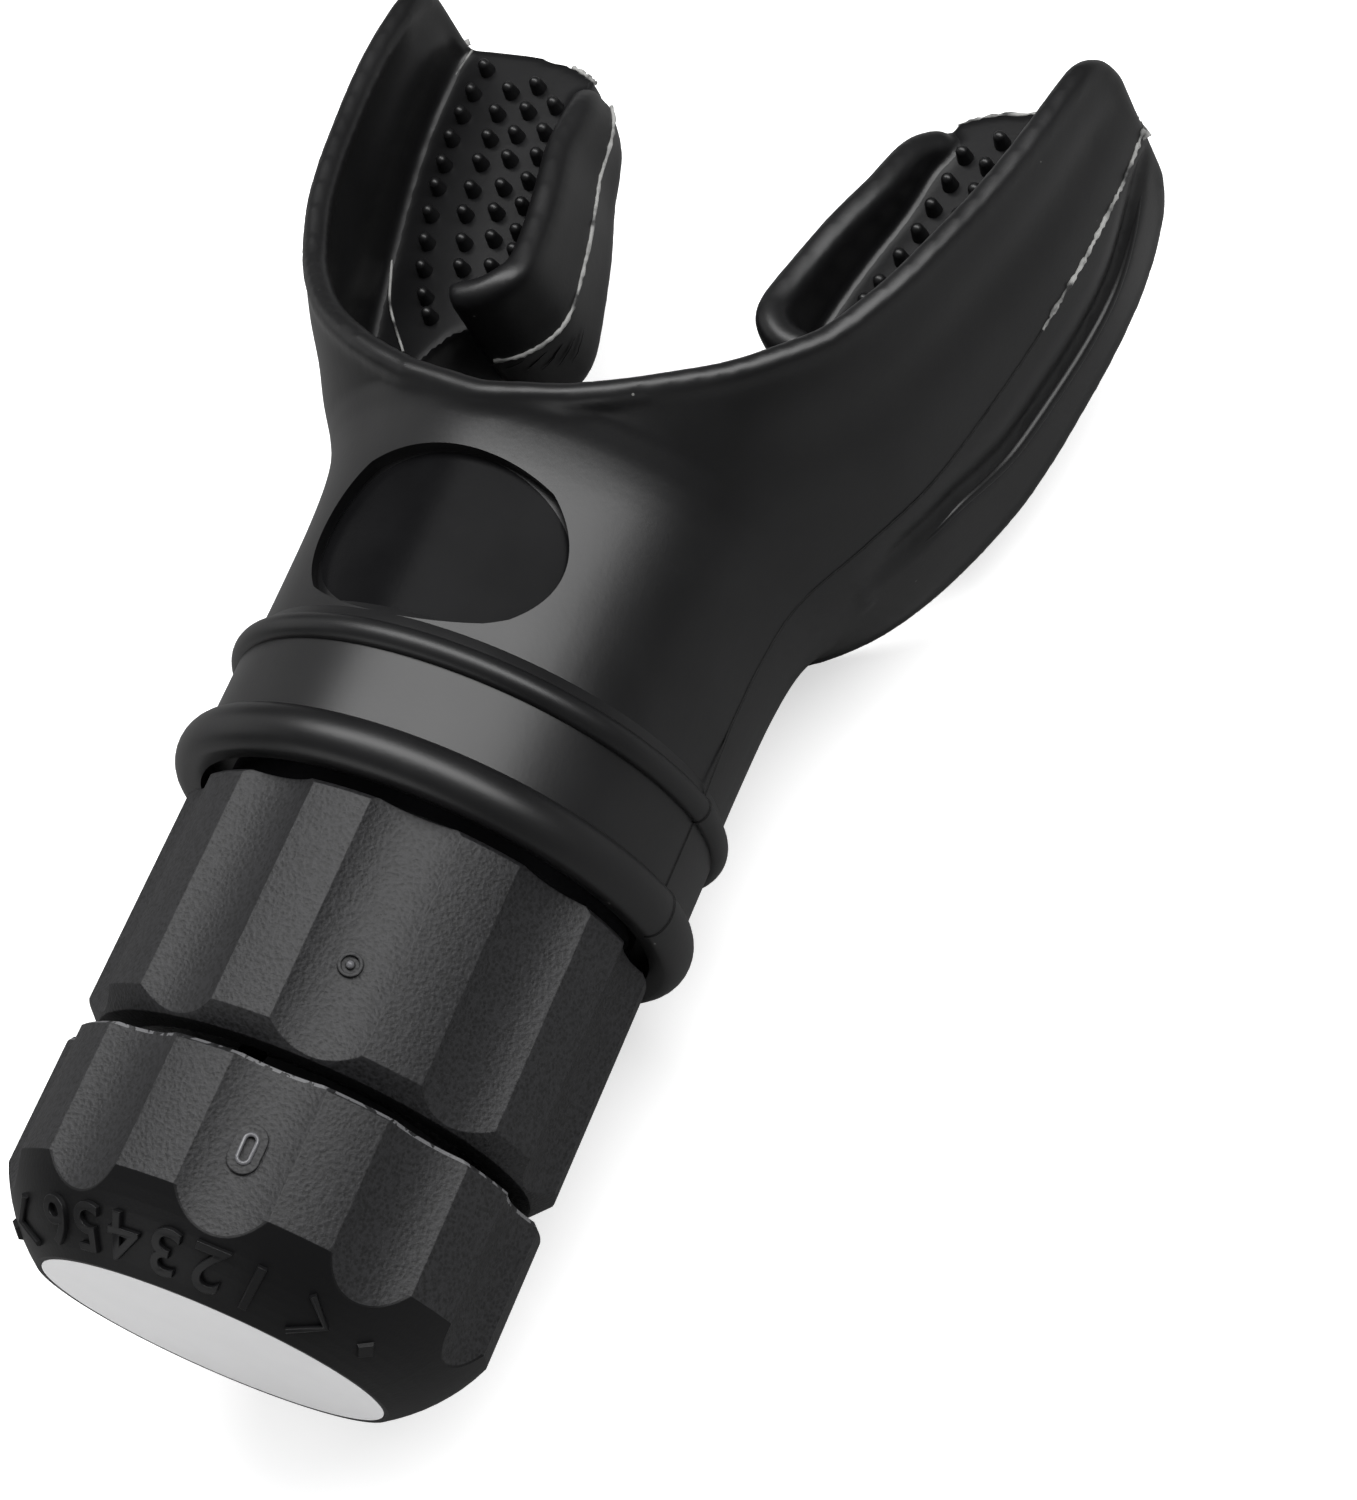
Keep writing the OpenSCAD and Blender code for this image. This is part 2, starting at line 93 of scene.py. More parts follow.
# The passage cutter: a bore, then a funnel to the oval mouth, in millimetres
BORE_CUT_Y = 40
BORE_CUT_LENGTH = 8.6
FUNNEL_Y = 48.2
FUNNEL_LENGTH = 10.2
FUNNEL_R = 11
MOUTH_HALF_HEIGHT = 6

# The oval pocket on the neck, in millimetres; a squareness of 2 is a true oval
POCKET_Y = 48.9
POCKET_HALF_W = 9.1
POCKET_HALF_L = 6.1
POCKET_DEPTH = 0.75
POCKET_SQUARENESS = 2.35
POCKET_CUT_HEIGHT = 4

# The webs, the inner walls and the lips under the webs, in millimetres
WEB_HALF = 1.15
WEB_FRONT_Y = 66
INNER_WALL_HEIGHT = 6.8
CREST_HALF = 1.2
LIP_MIDDLE = -3.4
LIP_HALF = 3.6
LIP_HALF_THICK = 0.8
# Shares: the webs' reach along the wing, then the crest's end taper, straight side and widening at the web
WEB_SPAN = (0.975, 0.25)
CREST_END = 0.03
CREST_END_HALF = 0.55
CREST_SIDE = 0.3
CREST_FLARE = 0.25

# The posts on the webs, in millimetres
NUB_HEIGHT = 1.25
NUB_FOOT_R = 0.62
NUB_TOP_R = 0.46
NUB_SUNK = 0.15

# Soft valley above the middle of a wing: depth in millimetres, then shares of the way to the rim
VALLEY_DEPTH = 0.5
VALLEY_PLACE = 0.56
VALLEY_WIDTH = 0.17
# Crease below the middle: depth, then the width in millimetres and the sharpness of its upper and lower side
CREASE_DEPTH = 1.0
CREASE_UPPER = (3.8, 1.6)
CREASE_LOWER = (1.1, 1.2)
# Shares of the wing length: where valley and crease start, and over what length they come and go
CREASE_START = 0.27
CREASE_COMES = 0.1
CREASE_GOES = 0.12
# The raised edge under the crease: shares of the wing length, then millimetres
CREASE_LIP_SPAN = (0.37, 0.95)
CREASE_LIP_BELOW = 1.0
CREASE_LIP_SUNK = 0.4
CREASE_LIP_R = 0.48

# The folds inside the left wing: shares of the inner wall's length, then millimetres
FOLD_COUNT = 6
FOLD_START = 0.02
FOLD_APART = 0.05
FOLD_REACH = 0.11
FOLD_TOP = -0.7
FOLD_DROP = 0.55
FOLD_RISE = 1.0
FOLD_OUT = 1.4
FOLD_R = 0.055

# Marks of the mould, in millimetres; a span is shares of the length, a flash the limits of its radius
PARTING_SPAN = (0.02, 0.7)
# The parting line is a near-black tube, painted shade of its fine step
PARTING_R = 0.075
# The web base lines are painted pale: a painted highlight along each web's root
BASE_LINE_R = 0.1
BASE_LINE_INSET = 0.3
OUTER_FLASH_SPAN = (0.66, 0.97)
OUTER_FLASH = (0.07, 0.24)
INNER_FLASH_SPAN = (0.06, 0.96)
INNER_FLASH = (0.1, 0.21)
INNER_FLASH_OUT = 1.5
TIP_FLASH = (0.1, 0.24)
TIP_FLASH_Z = 0.75
TIP_FLASH_SHARES = {1: 1.0, -1: 0.35}
FLAP_THICKNESS = 0.08
PARTING_PROUD = 0.01
OUTER_FLASH_PROUD = 0.03
# Scraps of flash, at the end of each wing and at the web tips: place, size, turn in degrees and seed
WING_END_SCRAP = ((27.1, 94.9, 0.9), (2.4, 0.85), -40, 13)
WEB_TIP_SCRAPS = (((22.6, 94.9, 0.5), (4.2, 1.6), 6, 5), ((-16.2, 93.9, 0.4), (2.6, 0.8), -32, 9))

# The cap and its cone, in millimetres
CAP_FACE_R = 11.8
CAP_R = 16.05
CAP_LENGTH = 13.8
CONE_LENGTH = 5.1
CONE_BULGE = 0.45
CONE_SLOPE = math.hypot(CAP_R - CAP_FACE_R, CONE_LENGTH)
# The chipped edge of the cap's end at the barrel: width, then middle and half of its depth
CHIP_WIDTH = 1.35
CHIP_DEPTH = 0.11
CHIP_HALF = 0.1

# The raised figures on the cone: angles in degrees, places up the slope and sizes in millimetres
NUMBER_TURN = 53
NUMBER_STEP = 11.6
NUMBER_UP = 2.75
NUMBER_SIZE = 4.4
NUMBER_RISE = 0.28
NUMBER_ROUND = 0.05
MARK_UP = 2.4
ARROWS = ((36, -1), (130, 1))
ARROW_HALF_L = 0.9
ARROW_HALF_W = 1.5
ARROW_R = 0.24
ARROW_RISE = 0.12
DIAMOND_TURNS = (18.8, 150.2)
DIAMOND_FOOT_R = 0.85
DIAMOND_TOP_R = 0.6
DIAMOND_HEIGHT = 0.5

# The two index marks: the cap's slot and the barrel's dome, angles in degrees and sizes in millimetres
SLOT_TURN = 67
SLOT_AT_R = 15.24
SLOT_Y = 8.7
SLOT_R = 0.4
SLOT_HALF_STRAIGHT = 0.5
SLOT_EDGE_R = 0.13
DOME_TURN = 63.5
DOME_AT_R = 14.92
DOME_Y = 21.3
DOME_R = 0.27

# A mix node's two colour inputs, which come after its number and vector ones
COLOUR_A = 6
COLOUR_B = 7

# Shares of the wing length, of the widening, of the deepening and of the rim's height
PLAN_SHARES = ((-0.1, 0), (0, 0), (0.12, 0.018), (0.2, 0.075), (0.25, 0.18), (0.31, 0.335), (0.42, 0.575),
               (0.6, 0.785), (0.8, 0.955), (1, 1), (1.1, 1))
DEEP_SHARES = ((-0.1, 0), (0, 0), (0.12, 0.004), (0.2, 0.02), (0.25, 0.06), (0.305, 0.21), (0.355, 0.34),
               (0.4, 0.43), (0.445, 0.545), (0.5, 0.7), (0.56, 0.89), (0.65, 1), (1, 1), (1.1, 1))
RIM_SHARES = ((0.12, 1.08), (0.2, 1.04), (0.251, 1), (0.305, 0.92), (0.355, 0.77), (0.4, 0.655),
              (0.445, 0.54), (0.5, 0.48), (0.56, 0.42), (0.62, 0.355), (0.69, 0.265), (0.77, 0.18),
              (0.84, 0.1), (0.91, 0))

# Crease on the lower half of a wing: share of the length and share of the way from the middle to the rim
CREASE = ((0.3, 0.2), (0.37, 0.25), (0.44, 0.3), (0.54, 0.44), (0.63, 0.48), (0.73, 0.505), (0.815, 0.475),
          (0.89, 0.33), (0.957, 0.12), (1.02, 0.0))
# Parting line on the outer wall: share of the length and height in millimetres
PARTING = ((0.36, -0.15), (0.5, -0.05), (0.631, 0.0), (0.686, 0.3), (0.775, 0.6), (0.826, 0.8), (0.891, 0.75),
           (0.96, 1.1), (1.0, 1.3))

# Plan points of one wing, x and y in millimetres
WEB_INNER = ((17.6, 59.6), (17.6, 67.6), (16.7, 70.3), (15.0, 71.9), (12.3, 72.8), (11.0, 75.0), (11.4, 79.0),
             (13.0, 86.0), (13.9, 91.0))
WEB_TIP = ((14.5, 93.6), (16.7, 94.6), (20.7, 95.3), (24.0, 95.3))
CREST = ((14.0, 71.7), (11.8, 72.3), (10.4, 73.6), (10.0, 75.3), (10.6, 78.7), (11.5, 82.3), (12.6, 86.0),
         (13.3, 89.9), (14.6, 92.2))
CREST_HEIGHTS = (0.97, 1, 1, 0.94, 0.855, 0.79, 0.69, 0.53, 0.3)
WEB_BASE = ((19.4, 69.3), (22.1, 72.6), (23.4, 75.3), (24.6, 78.4), (25.5, 81.8), (26.0, 85.1), (26.2, 88.1),
            (26.2, 92.1), (25.8, 94.9))
FRONT_LIP = ((13.4, 72.7), (15.6, 72.0), (17.4, 70.3), (18.3, 67.5), (18.4, 63.5), (18.4, 60.2))
NUB_ROWS = (
    ((23.4, 93.3), (23.5, 91.1), (23.5, 89.1), (23.4, 87.0), (23.0, 84.8), (22.6, 82.8), (22.1, 80.5),
     (21.3, 78.2), (20.5, 76.0), (19.3, 73.8), (18.2, 72.3)),
    ((20.5, 91.6), (20.7, 89.6), (20.3, 87.4), (20.1, 85.3), (19.7, 83.0), (19.3, 80.9), (18.3, 78.6),
     (17.5, 76.5)),
    ((18.5, 92.3), (18.3, 90.1), (18.3, 88.0), (17.9, 85.9), (17.3, 83.5), (16.9, 81.4), (16.1, 79.2),
     (15.1, 76.9)),
    ((16.3, 90.8), (16.1, 88.5), (15.7, 86.4), (15.5, 84.3), (15.0, 82.2), (14.4, 80.0), (13.9, 78.4)),
)


def smooth(pairs, x):
    """Smooth curve through pairs of place and value."""
    n = len(pairs) - 1
    i = 0
    while i < n - 1 and x >= pairs[i + 1][0]:
        i += 1
    (x0, v0), (x1, v1) = pairs[i], pairs[i + 1]
    a, b = pairs[max(i - 1, 0)], pairs[min(i + 2, n)]
    t = (x - x0) / (x1 - x0)
    m0 = (v1 - a[1]) / (x1 - a[0]) * (x1 - x0)
    m1 = (b[1] - v0) / (b[0] - x0) * (x1 - x0)
    return ((2 * t**3 - 3 * t**2 + 1) * v0 + (t**3 - 2 * t**2 + t) * m0
            + (3 * t**2 - 2 * t**3) * v1 + (t**3 - t**2) * m1)


def steps(start, end, count):
    """Evenly spaced values, both ends included."""
    return [start + (end - start) * i / (count - 1) for i in range(count)]


def limited(x, low=0, high=1):
    """Value kept between two limits."""
    return max(low, min(high, x))


def along(points, t):
    """Point on a smooth curve through points, t from 0 to 1."""
    n = len(points) - 1
    return [smooth([(i / n, p[k]) for i, p in enumerate(points)], t) for k in range(len(points[0]))]


def beside(points, t, out, ahead=0.01, behind=0.01):
    """Plan point at a distance to the left of a smooth curve, square to its run near t."""
    x, y = along(points, t)
    after, before = along(points, min(1, t + ahead)), along(points, max(0, t - behind))
    run = Vector((after[0] - before[0], after[1] - before[1])).normalized()
    return x - run.y * out, y + run.x * out


def wing_y(s):
    """Place along the airway at a share of the wing length."""
    return NECK_END + WING_LENGTH * s


def half_width(s):
    return BODY_R + (HALF_WIDTH - BODY_R) * smooth(PLAN_SHARES, s)


def half_height(s):
    return BODY_R + (DEEPEST - BODY_R) * smooth(DEEP_SHARES, s)


def wall_middle(s):
    """Half width at the middle of the wall, whose thickness is measured square to it."""
    slope = (half_width(s + 0.01) - half_width(s - 0.01)) / (0.02 * WING_LENGTH)
    inner = half_width(s) - WALL * math.sqrt(1 + slope**2)
    return (half_width(s) + inner) / 2


def rim_height(s, corner=0):
    """Distance of the rim from the middle plane, with a round corner of a radius at the tip."""
    share = smooth(RIM_SHARES, min(s, RIM_SHARES[-1][0]))
    height = RIM_TIP_HEIGHT + (RIM_FRONT_HEIGHT - RIM_TIP_HEIGHT) * share
    past = limited((s - RIM_END) * WING_LENGTH + corner, 0, corner)
    return height - corner + math.sqrt(corner**2 - past**2)


def rim_angle(s, corner=0):
    """Angle round the airway at which the rim lies."""
    return math.asin(min(1, rim_height(s, corner) / half_height(s))) if s > RIM_FRONT else math.pi / 2


def eased(q):
    """Share of the wing length at a step of the rim, with short steps toward the tip."""
    slowing = EVEN_STEPS * q + (1 - EVEN_STEPS) * math.sin(math.pi * q / 2)
    return RIM_FRONT + (RIM_END - RIM_FRONT) * slowing


def crease_depth(s, u):
    """Depth of the valley and the crease at a share of the length and of the way up to the rim."""
    fade = limited((s - CREASE_START) / CREASE_COMES) * limited((1.0 - s) / CREASE_GOES)
    if u >= 0:
        return VALLEY_DEPTH * fade * math.exp(-((u - VALLEY_PLACE) / VALLEY_WIDTH) ** 2)
    crease = smooth(CREASE, limited(s, CREASE[0][0], CREASE[-1][0]))
    off = (-u - crease) * rim_height(s)
    width, sharpness = CREASE_UPPER if off < 0 else CREASE_LOWER
    return CREASE_DEPTH * fade * max(0, 1 - abs(off) / width) ** sharpness


def finish_shading(piece, smooth_under=35):
    """Smooth shading, but for edges sharper than an angle."""
    piece.data.shade_smooth()
    piece.data.set_sharp_from_angle(angle=math.radians(smooth_under))


def linked(name, data):
    """Object in the scene for a mesh, a curve, a lamp or a camera."""
    made = bpy.data.objects.new(name, data)
    bpy.context.scene.collection.objects.link(made)
    return made


def new_piece(name, bm, smooth_under=35):
    """Piece at the origin from a bmesh in millimetres."""
    bmesh.ops.scale(bm, vec=(MM, MM, MM), verts=bm.verts)
    mesh = bpy.data.meshes.new(name)
    bm.to_mesh(mesh)
    bm.free()
    piece = linked(name, mesh)
    finish_shading(piece, smooth_under)
    return piece


def made_mesh(name, curve):
    """Mesh piece from a curve or a text."""
    source = linked(name, curve)
    graph = bpy.context.evaluated_depsgraph_get()
    mesh = bpy.data.meshes.new_from_object(source.evaluated_get(graph))
    bpy.data.objects.remove(source)
    return linked(name, mesh)


def merge(pieces, name):
    """One piece from several, which are removed."""
    bm = bmesh.new()
    for piece in pieces:
        bm.from_mesh(piece.data)
        bpy.data.objects.remove(piece)
    mesh = bpy.data.meshes.new(name)
    bm.to_mesh(mesh)
    bm.free()
    return linked(name, mesh)


def add_modifier(piece, kind, **settings):
    modifier = piece.modifiers.new(kind.lower(), kind)
    for key, value in settings.items():
        setattr(modifier, key, value)


def apply_modifiers(piece):
    graph = bpy.context.evaluated_depsgraph_get()
    mesh = bpy.data.meshes.new_from_object(piece.evaluated_get(graph))
    piece.modifiers.clear()
    piece.data = mesh


def dress(piece, material):
    """Gives a piece its only material."""
    piece.data.materials.clear()
    piece.data.materials.append(material)


def loft(bm, rings, place, count):
    """Closed skin over rings of count points, bridged one to the next; place(ring, angle) gives a point."""
    loops = []
    for r in steps(0, 1, rings):
        made = bmesh.ops.create_circle(bm, segments=count, radius=1)["verts"]
        for i, v in enumerate(made):
            v.co = place(r, 2 * math.pi * i / count)
        loops.append(made)
    for a, b in zip(loops, loops[1:]):
        edges = {e for v in a + b for e in v.link_edges if e.other_vert(v) in a or e.other_vert(v) in b}
        ring_edges = [e for e in edges if (e.verts[0] in a) == (e.verts[1] in a)]
        bmesh.ops.bridge_loops(bm, edges=ring_edges)
    bmesh.ops.contextual_create(bm, geom=loops[0])
    bmesh.ops.contextual_create(bm, geom=loops[-1])
    bmesh.ops.recalc_face_normals(bm, faces=bm.faces)


def both_sides(bm, weld=-1):
    """Adds the mirrored left half; a weld distance joins the halves along the middle."""
    bmesh.ops.mirror(bm, geom=bm.verts[:] + bm.edges[:] + bm.faces[:], matrix=Matrix.Identity(4),
                     merge_dist=weld, axis="X")
    if weld > 0:
        bmesh.ops.remove_doubles(bm, verts=bm.verts, dist=weld)
    bmesh.ops.recalc_face_normals(bm, faces=bm.faces)


def raise_faces(bm, faces, height):
    """Extrudes faces upward into a solid."""
    raised = bmesh.ops.extrude_face_region(bm, geom=faces)["geom"]
    up = [v for v in raised if isinstance(v, bmesh.types.BMVert)]
    bmesh.ops.translate(bm, vec=(0, 0, height), verts=up)


def turned(name, bm, section, count):
    """Piece from a section turned round the airway."""
    bmesh.ops.spin(bm, geom=section, cent=(0, 0, 0), axis=(0, 1, 0), dvec=(0, 0, 0),
                   angle=2 * math.pi, steps=count, use_merge=True)
    bmesh.ops.remove_doubles(bm, verts=bm.verts, dist=0.001)
    bmesh.ops.recalc_face_normals(bm, faces=bm.faces)
    return new_piece(name, bm)


def tube(points, radius, name, closed=False, sides=3):
    """Round tube along points; its radius is one length or a function of the share of the way."""
    curve = bpy.data.curves.new(name, "CURVE")
    curve.dimensions = "3D"
    curve.bevel_depth = 1 * MM
    curve.bevel_resolution = sides
    curve.use_fill_caps = not closed
    spline = curve.splines.new("POLY")
    last = len(points) - 1
    spline.points.add(last)
    for i, (x, y, z) in enumerate(points):
        spline.points[i].co = (x * MM, y * MM, z * MM, 1)
        spline.points[i].radius = radius(i / last) if callable(radius) else radius
    spline.use_cyclic_u = closed
    return made_mesh(name, curve)


def swell(radius, blunt, power=1):
    """Radius along a tube that is fullest in the middle and small at its blunt ends."""
    return lambda q: radius * math.sin(math.pi * (blunt + (1 - 2 * blunt) * q)) ** power


def ragged(points, radii, seed, name):
    """Tube along a line whose thickness and height wander, as torn flash does."""
    chance = random.Random(seed)
    wander = [chance.uniform(*radii) for _ in points]
    moved = [(x, y, z + chance.uniform(-0.05, 0.05)) for x, y, z in points]
    last = len(points) - 1
    return tube(moved, lambda q: wander[round(q * last)], name, sides=2)


def shield_sheet():
    """Outer form of the shield and wings, from under the second bead to the tips, solid by its wall."""
    front, back, sides = 14, 64, 64
    bm = bmesh.new()
    bmesh.ops.create_grid(bm, x_segments=front + back, y_segments=sides, size=1)
    for v in bm.verts:
        column = (v.co.x + 1) / 2 * (front + back)
        if column <= front:
            s = SHIELD_START + (RIM_FRONT - SHIELD_START) * column / front
        else:
            s = eased((column - front) / back)
        u = v.co.y
        turn = u * rim_angle(s, UPPER_CORNER if u > 0 else LOWER_CORNER)
        out = half_width(s) - crease_depth(s, u)
        v.co = Vector((out * math.cos(turn), wing_y(s), half_height(s) * math.sin(turn)))
    both_sides(bm, weld=0.01)
    sheet = new_piece("sheet", bm)
    add_modifier(sheet, "SOLIDIFY", thickness=WALL * MM, offset=-1, use_even_offset=True)
    apply_modifiers(sheet)
    return sheet


def rim_points():
    """Middle of the rim's roll round the right half, from the front above to the front below."""
    halves = []
    for corner, way in ((UPPER_CORNER, 1), (LOWER_CORNER, -1)):
        half = []
        for q in steps(0, 1, 61):
            s = eased(q)
            z = rim_height(s, corner)
            share = z / (half_height(s) - WALL / 2)
            x = wall_middle(s) * math.sqrt(max(0, 1 - share**2))
            half.append(Vector((x, wing_y(s), way * z)))
        half[0].x = 0
        halves.append(half)
    upper, lower = halves
    tip = [upper[-1].lerp(lower[-1], k) for k in (0.2, 0.4, 0.6, 0.8)]
    return upper + tip + lower[::-1]


def rim_roll():
    """The round roll along the whole rim."""
    right = rim_points()
    left = [Vector((-p.x, p.y, p.z)) for p in reversed(right[1:-1])]
    return tube(right + left, RIM_R, "roll", closed=True, sides=6)


def core():
    """Solid part of the shield round the passage, just inside the outer form."""
    def place(r, angle):
        s = SHIELD_START + (CORE_END - SHIELD_START) * r
        x = (half_width(s) - CORE_INSET) * math.cos(angle)
        return Vector((x, wing_y(s), (half_height(s) - CORE_INSET) * math.sin(angle)))

    bm = bmesh.new()
    loft(bm, 10, place, 64)
    return new_piece("core", bm)


def webs():
    """The bite webs in the middle plane."""
    inner = [along(WEB_INNER, t) for t in steps(0, 1, 41)]
    outer = [(wall_middle(s), wing_y(s)) for s in steps(*WEB_SPAN, 31)]
    bm = bmesh.new()
    outline = [bm.verts.new((x, y, -WEB_HALF)) for x, y in inner + list(WEB_TIP) + outer]
    face = bmesh.ops.contextual_create(bm, geom=outline)["faces"]
    raise_faces(bm, face, 2 * WEB_HALF)
    both_sides(bm)
    return new_piece("webs", bm)


def inner_walls():
    """The inner bite walls: a round ridge above and below the web, curled at the front end."""
    heights = list(zip(steps(0, 1, len(CREST_HEIGHTS)), CREST_HEIGHTS))

    def place(r, angle):
        end = min(1, min(r, 1 - r) / CREST_END)
        half = CREST_HALF * (CREST_END_HALF + (1 - CREST_END_HALF) * end)
        steep = math.asin(abs(math.sin(angle))) / (math.pi / 2)
        straight = min(1, steep / CREST_SIDE)
        arc = max(0, steep - CREST_SIDE) / (1 - CREST_SIDE) * math.pi / 2
        side = math.copysign(half * math.cos(arc), math.cos(angle))
        if side > 0:
            side *= 1 + CREST_FLARE * (1 - straight) ** 2
        x, y = beside(CREST, r, side)
        z = (INNER_WALL_HEIGHT * smooth(heights, r) - half) * straight + half * math.sin(arc)
        return Vector((x, y, math.copysign(z, math.sin(angle))))

    bm = bmesh.new()
    loft(bm, 60, place, 40)
    both_sides(bm)
    return new_piece("walls", bm)


def front_lips():
    """The wall that turns down from the curl of each inner wall and runs under the web to the front."""
    def place(r, angle):
        x, y = beside(FRONT_LIP, r, LIP_HALF_THICK * math.cos(angle), ahead=0.02, behind=0.02)
        return Vector((x, y, LIP_MIDDLE + LIP_HALF * math.sin(angle)))

    bm = bmesh.new()
    loft(bm, 20, place, 24)
    both_sides(bm)
    return new_piece("lips", bm)


def passage_cut():
    """Cutter for the bore in the neck and the funnel to the oval mouth."""
    def bore(r, angle):
        return Vector((BORE_R * math.cos(angle), BORE_CUT_Y + BORE_CUT_LENGTH * r, BORE_R * math.sin(angle)))

    def funnel(r, angle):
        share = (1 - math.cos(math.pi * r)) / 2
        half = FUNNEL_R + (MOUTH_HALF_HEIGHT - FUNNEL_R) * share
        return Vector((FUNNEL_R * math.cos(angle), FUNNEL_Y + FUNNEL_LENGTH * r, half * math.sin(angle)))

    bm = bmesh.new()
    loft(bm, 2, bore, 96)
    loft(bm, 12, funnel, 96)
    return new_piece("passage", bm)


def pocket_cut():
    """Cutter for the oval pocket, its lower side following the neck."""
    floor_r = BODY_R - POCKET_DEPTH
    bm = bmesh.new()
    bmesh.ops.create_grid(bm, x_segments=40, y_segments=30, size=1)
    for v in bm.verts:
        a, b = v.co.x, v.co.y
        x = a * math.sqrt(1 - b**2 / POCKET_SQUARENESS) * POCKET_HALF_W
        y = b * math.sqrt(1 - a**2 / POCKET_SQUARENESS) * POCKET_HALF_L
        v.co = Vector((x, POCKET_Y + y, math.sqrt(floor_r**2 - x**2)))
    raise_faces(bm, bm.faces[:], POCKET_CUT_HEIGHT)
    bmesh.ops.recalc_face_normals(bm, faces=bm.faces)
    return new_piece("pocket", bm)


def mouthpiece_body():
    """Shield, wings and webs under one rubber skin, with the passage and the pocket cut out."""
    body = merge([shield_sheet(), rim_roll(), core(), webs(), inner_walls(), front_lips()], "body")
    add_modifier(body, "REMESH", mode="VOXEL", voxel_size=VOXEL * MM)
    add_modifier(body, "SMOOTH", factor=0.5, iterations=5)
    apply_modifiers(body)
    for cutter in (passage_cut(), pocket_cut()):
        add_modifier(body, "BOOLEAN", operation="DIFFERENCE", object=cutter, solver="MANIFOLD")
        apply_modifiers(body)
        bpy.data.objects.remove(cutter)
    return body


def neck_profile():
    """Section of the neck from the recess floor over both beads into the body, as radius and place."""
    points = [(BORE_R, RECESS_FLOOR), (RECESS_R, RECESS_FLOOR), (RECESS_R, BEAD_1[0] - BEAD_1[1] * 0.9)]
    for centre, half, height in (BEAD_1, BEAD_2):
        for a in steps(-math.pi / 2, math.pi / 2, 15):
            points.append((NECK_R + height * math.cos(a), centre + half * math.sin(a)))
    end = BEAD_2[0] + BEAD_2[1]
    points += [(NECK_R - 0.05, end + 0.15), (BODY_R + 0.08, end + 0.6), (BODY_R - 0.25, end + 1.3),
               (BORE_R, end + 1.3)]
    return points


def neck():
    """The neck with its recess and two beads, turned from its section."""
    bm = bmesh.new()
    verts = [bm.verts.new((r, y, 0)) for r, y in neck_profile()]
    edges = [bm.edges.new((a, b)) for a, b in zip(verts, verts[1:] + verts[:1])]
    return turned("neck", bm, verts + edges, 160)


def nubs():
    """Short round posts with domed tops on both sides of each web."""
    length = NUB_HEIGHT - NUB_TOP_R + NUB_SUNK
    base = WEB_HALF - NUB_SUNK
    spots = [spot for row in NUB_ROWS for spot in row]
    bm = bmesh.new()
    for (x, y), side, face in product(spots, (1, -1), (1, -1)):
        upright = Matrix.Scale(face, 4, (0, 0, 1))
        middle = Matrix.Translation((side * x, y, face * (base + length / 2)))
        top = Matrix.Translation((side * x, y, face * (base + length)))
        bmesh.ops.create_cone(bm, cap_ends=True, segments=12, radius1=NUB_FOOT_R, radius2=NUB_TOP_R,
                              depth=length, matrix=middle @ upright)
        bmesh.ops.create_uvsphere(bm, u_segments=12, v_segments=8, radius=NUB_TOP_R, matrix=top)
    bmesh.ops.recalc_face_normals(bm, faces=bm.faces)
    return new_piece("nubs", bm, 60)


def crease_lips():
    """The soft raised edge of the lower lobe, just under the crease on each wing."""
    lips = []
    for side in (1, -1):
        points = []
        for s in steps(*CREASE_LIP_SPAN, 60):
            u = -smooth(CREASE, s) - CREASE_LIP_BELOW / rim_height(s)
            turn = u * rim_angle(s, LOWER_CORNER)
            x = (half_width(s) - CREASE_LIP_SUNK) * math.cos(turn)
            points.append((side * x, wing_y(s), half_height(s) * math.sin(turn)))
        lips.append(tube(points, swell(CREASE_LIP_R, 0.04, 0.5), "lip", sides=5))
    return lips


def wrinkles():
    """Small folds on the inside of the left wing, just under the middle near the front."""
    folds = []
    chance = random.Random(4)
    for k in range(FOLD_COUNT):
        points = []
        for q in steps(0, 1, 9):
            x, y = beside(CREST, FOLD_START + FOLD_APART * k + FOLD_REACH * q, FOLD_OUT, behind=0)
            z = FOLD_TOP - FOLD_DROP * k + FOLD_RISE * q + chance.uniform(-0.06, 0.06)
            points.append((-x, y, z))
        folds.append(tube(points, swell(FOLD_R, 0.08), "fold", sides=2))
    return folds


def mouthpiece(rubber):
    """The whole rubber mouthpiece."""
    piece = merge([mouthpiece_body(), neck(), nubs()] + crease_lips() + wrinkles(), "bite_mouthpiece")
    finish_shading(piece, 40)
    dress(piece, rubber)
    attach(piece, "housing")
    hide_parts("mouthpiece")


def parting_line(dark):
    """Thin dark witness line in the middle plane, painted shade of its fine step: over both beads, up the
    neck and along the wing.
    """
    chance = random.Random(21)
    front, front_z = PARTING[0]
    pieces = []
    for side in (1, -1):
        points = [(side * (r + PARTING_PROUD), y, 0.0) for r, y in neck_profile()[3:-3]]
        for s in steps(*PARTING_SPAN, 60):
            drift = smooth(PARTING, s) if s > front else front_z * s / front
            z = drift + chance.uniform(-0.03, 0.03)
            points.append((side * (half_width(s) + PARTING_PROUD), wing_y(s), z))
        pieces.append(tube(points, PARTING_R, "line", sides=1))
    piece = merge(pieces, "parting_line")
    finish_shading(piece, 60)
    dress(piece, dark)
    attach(piece, "housing")


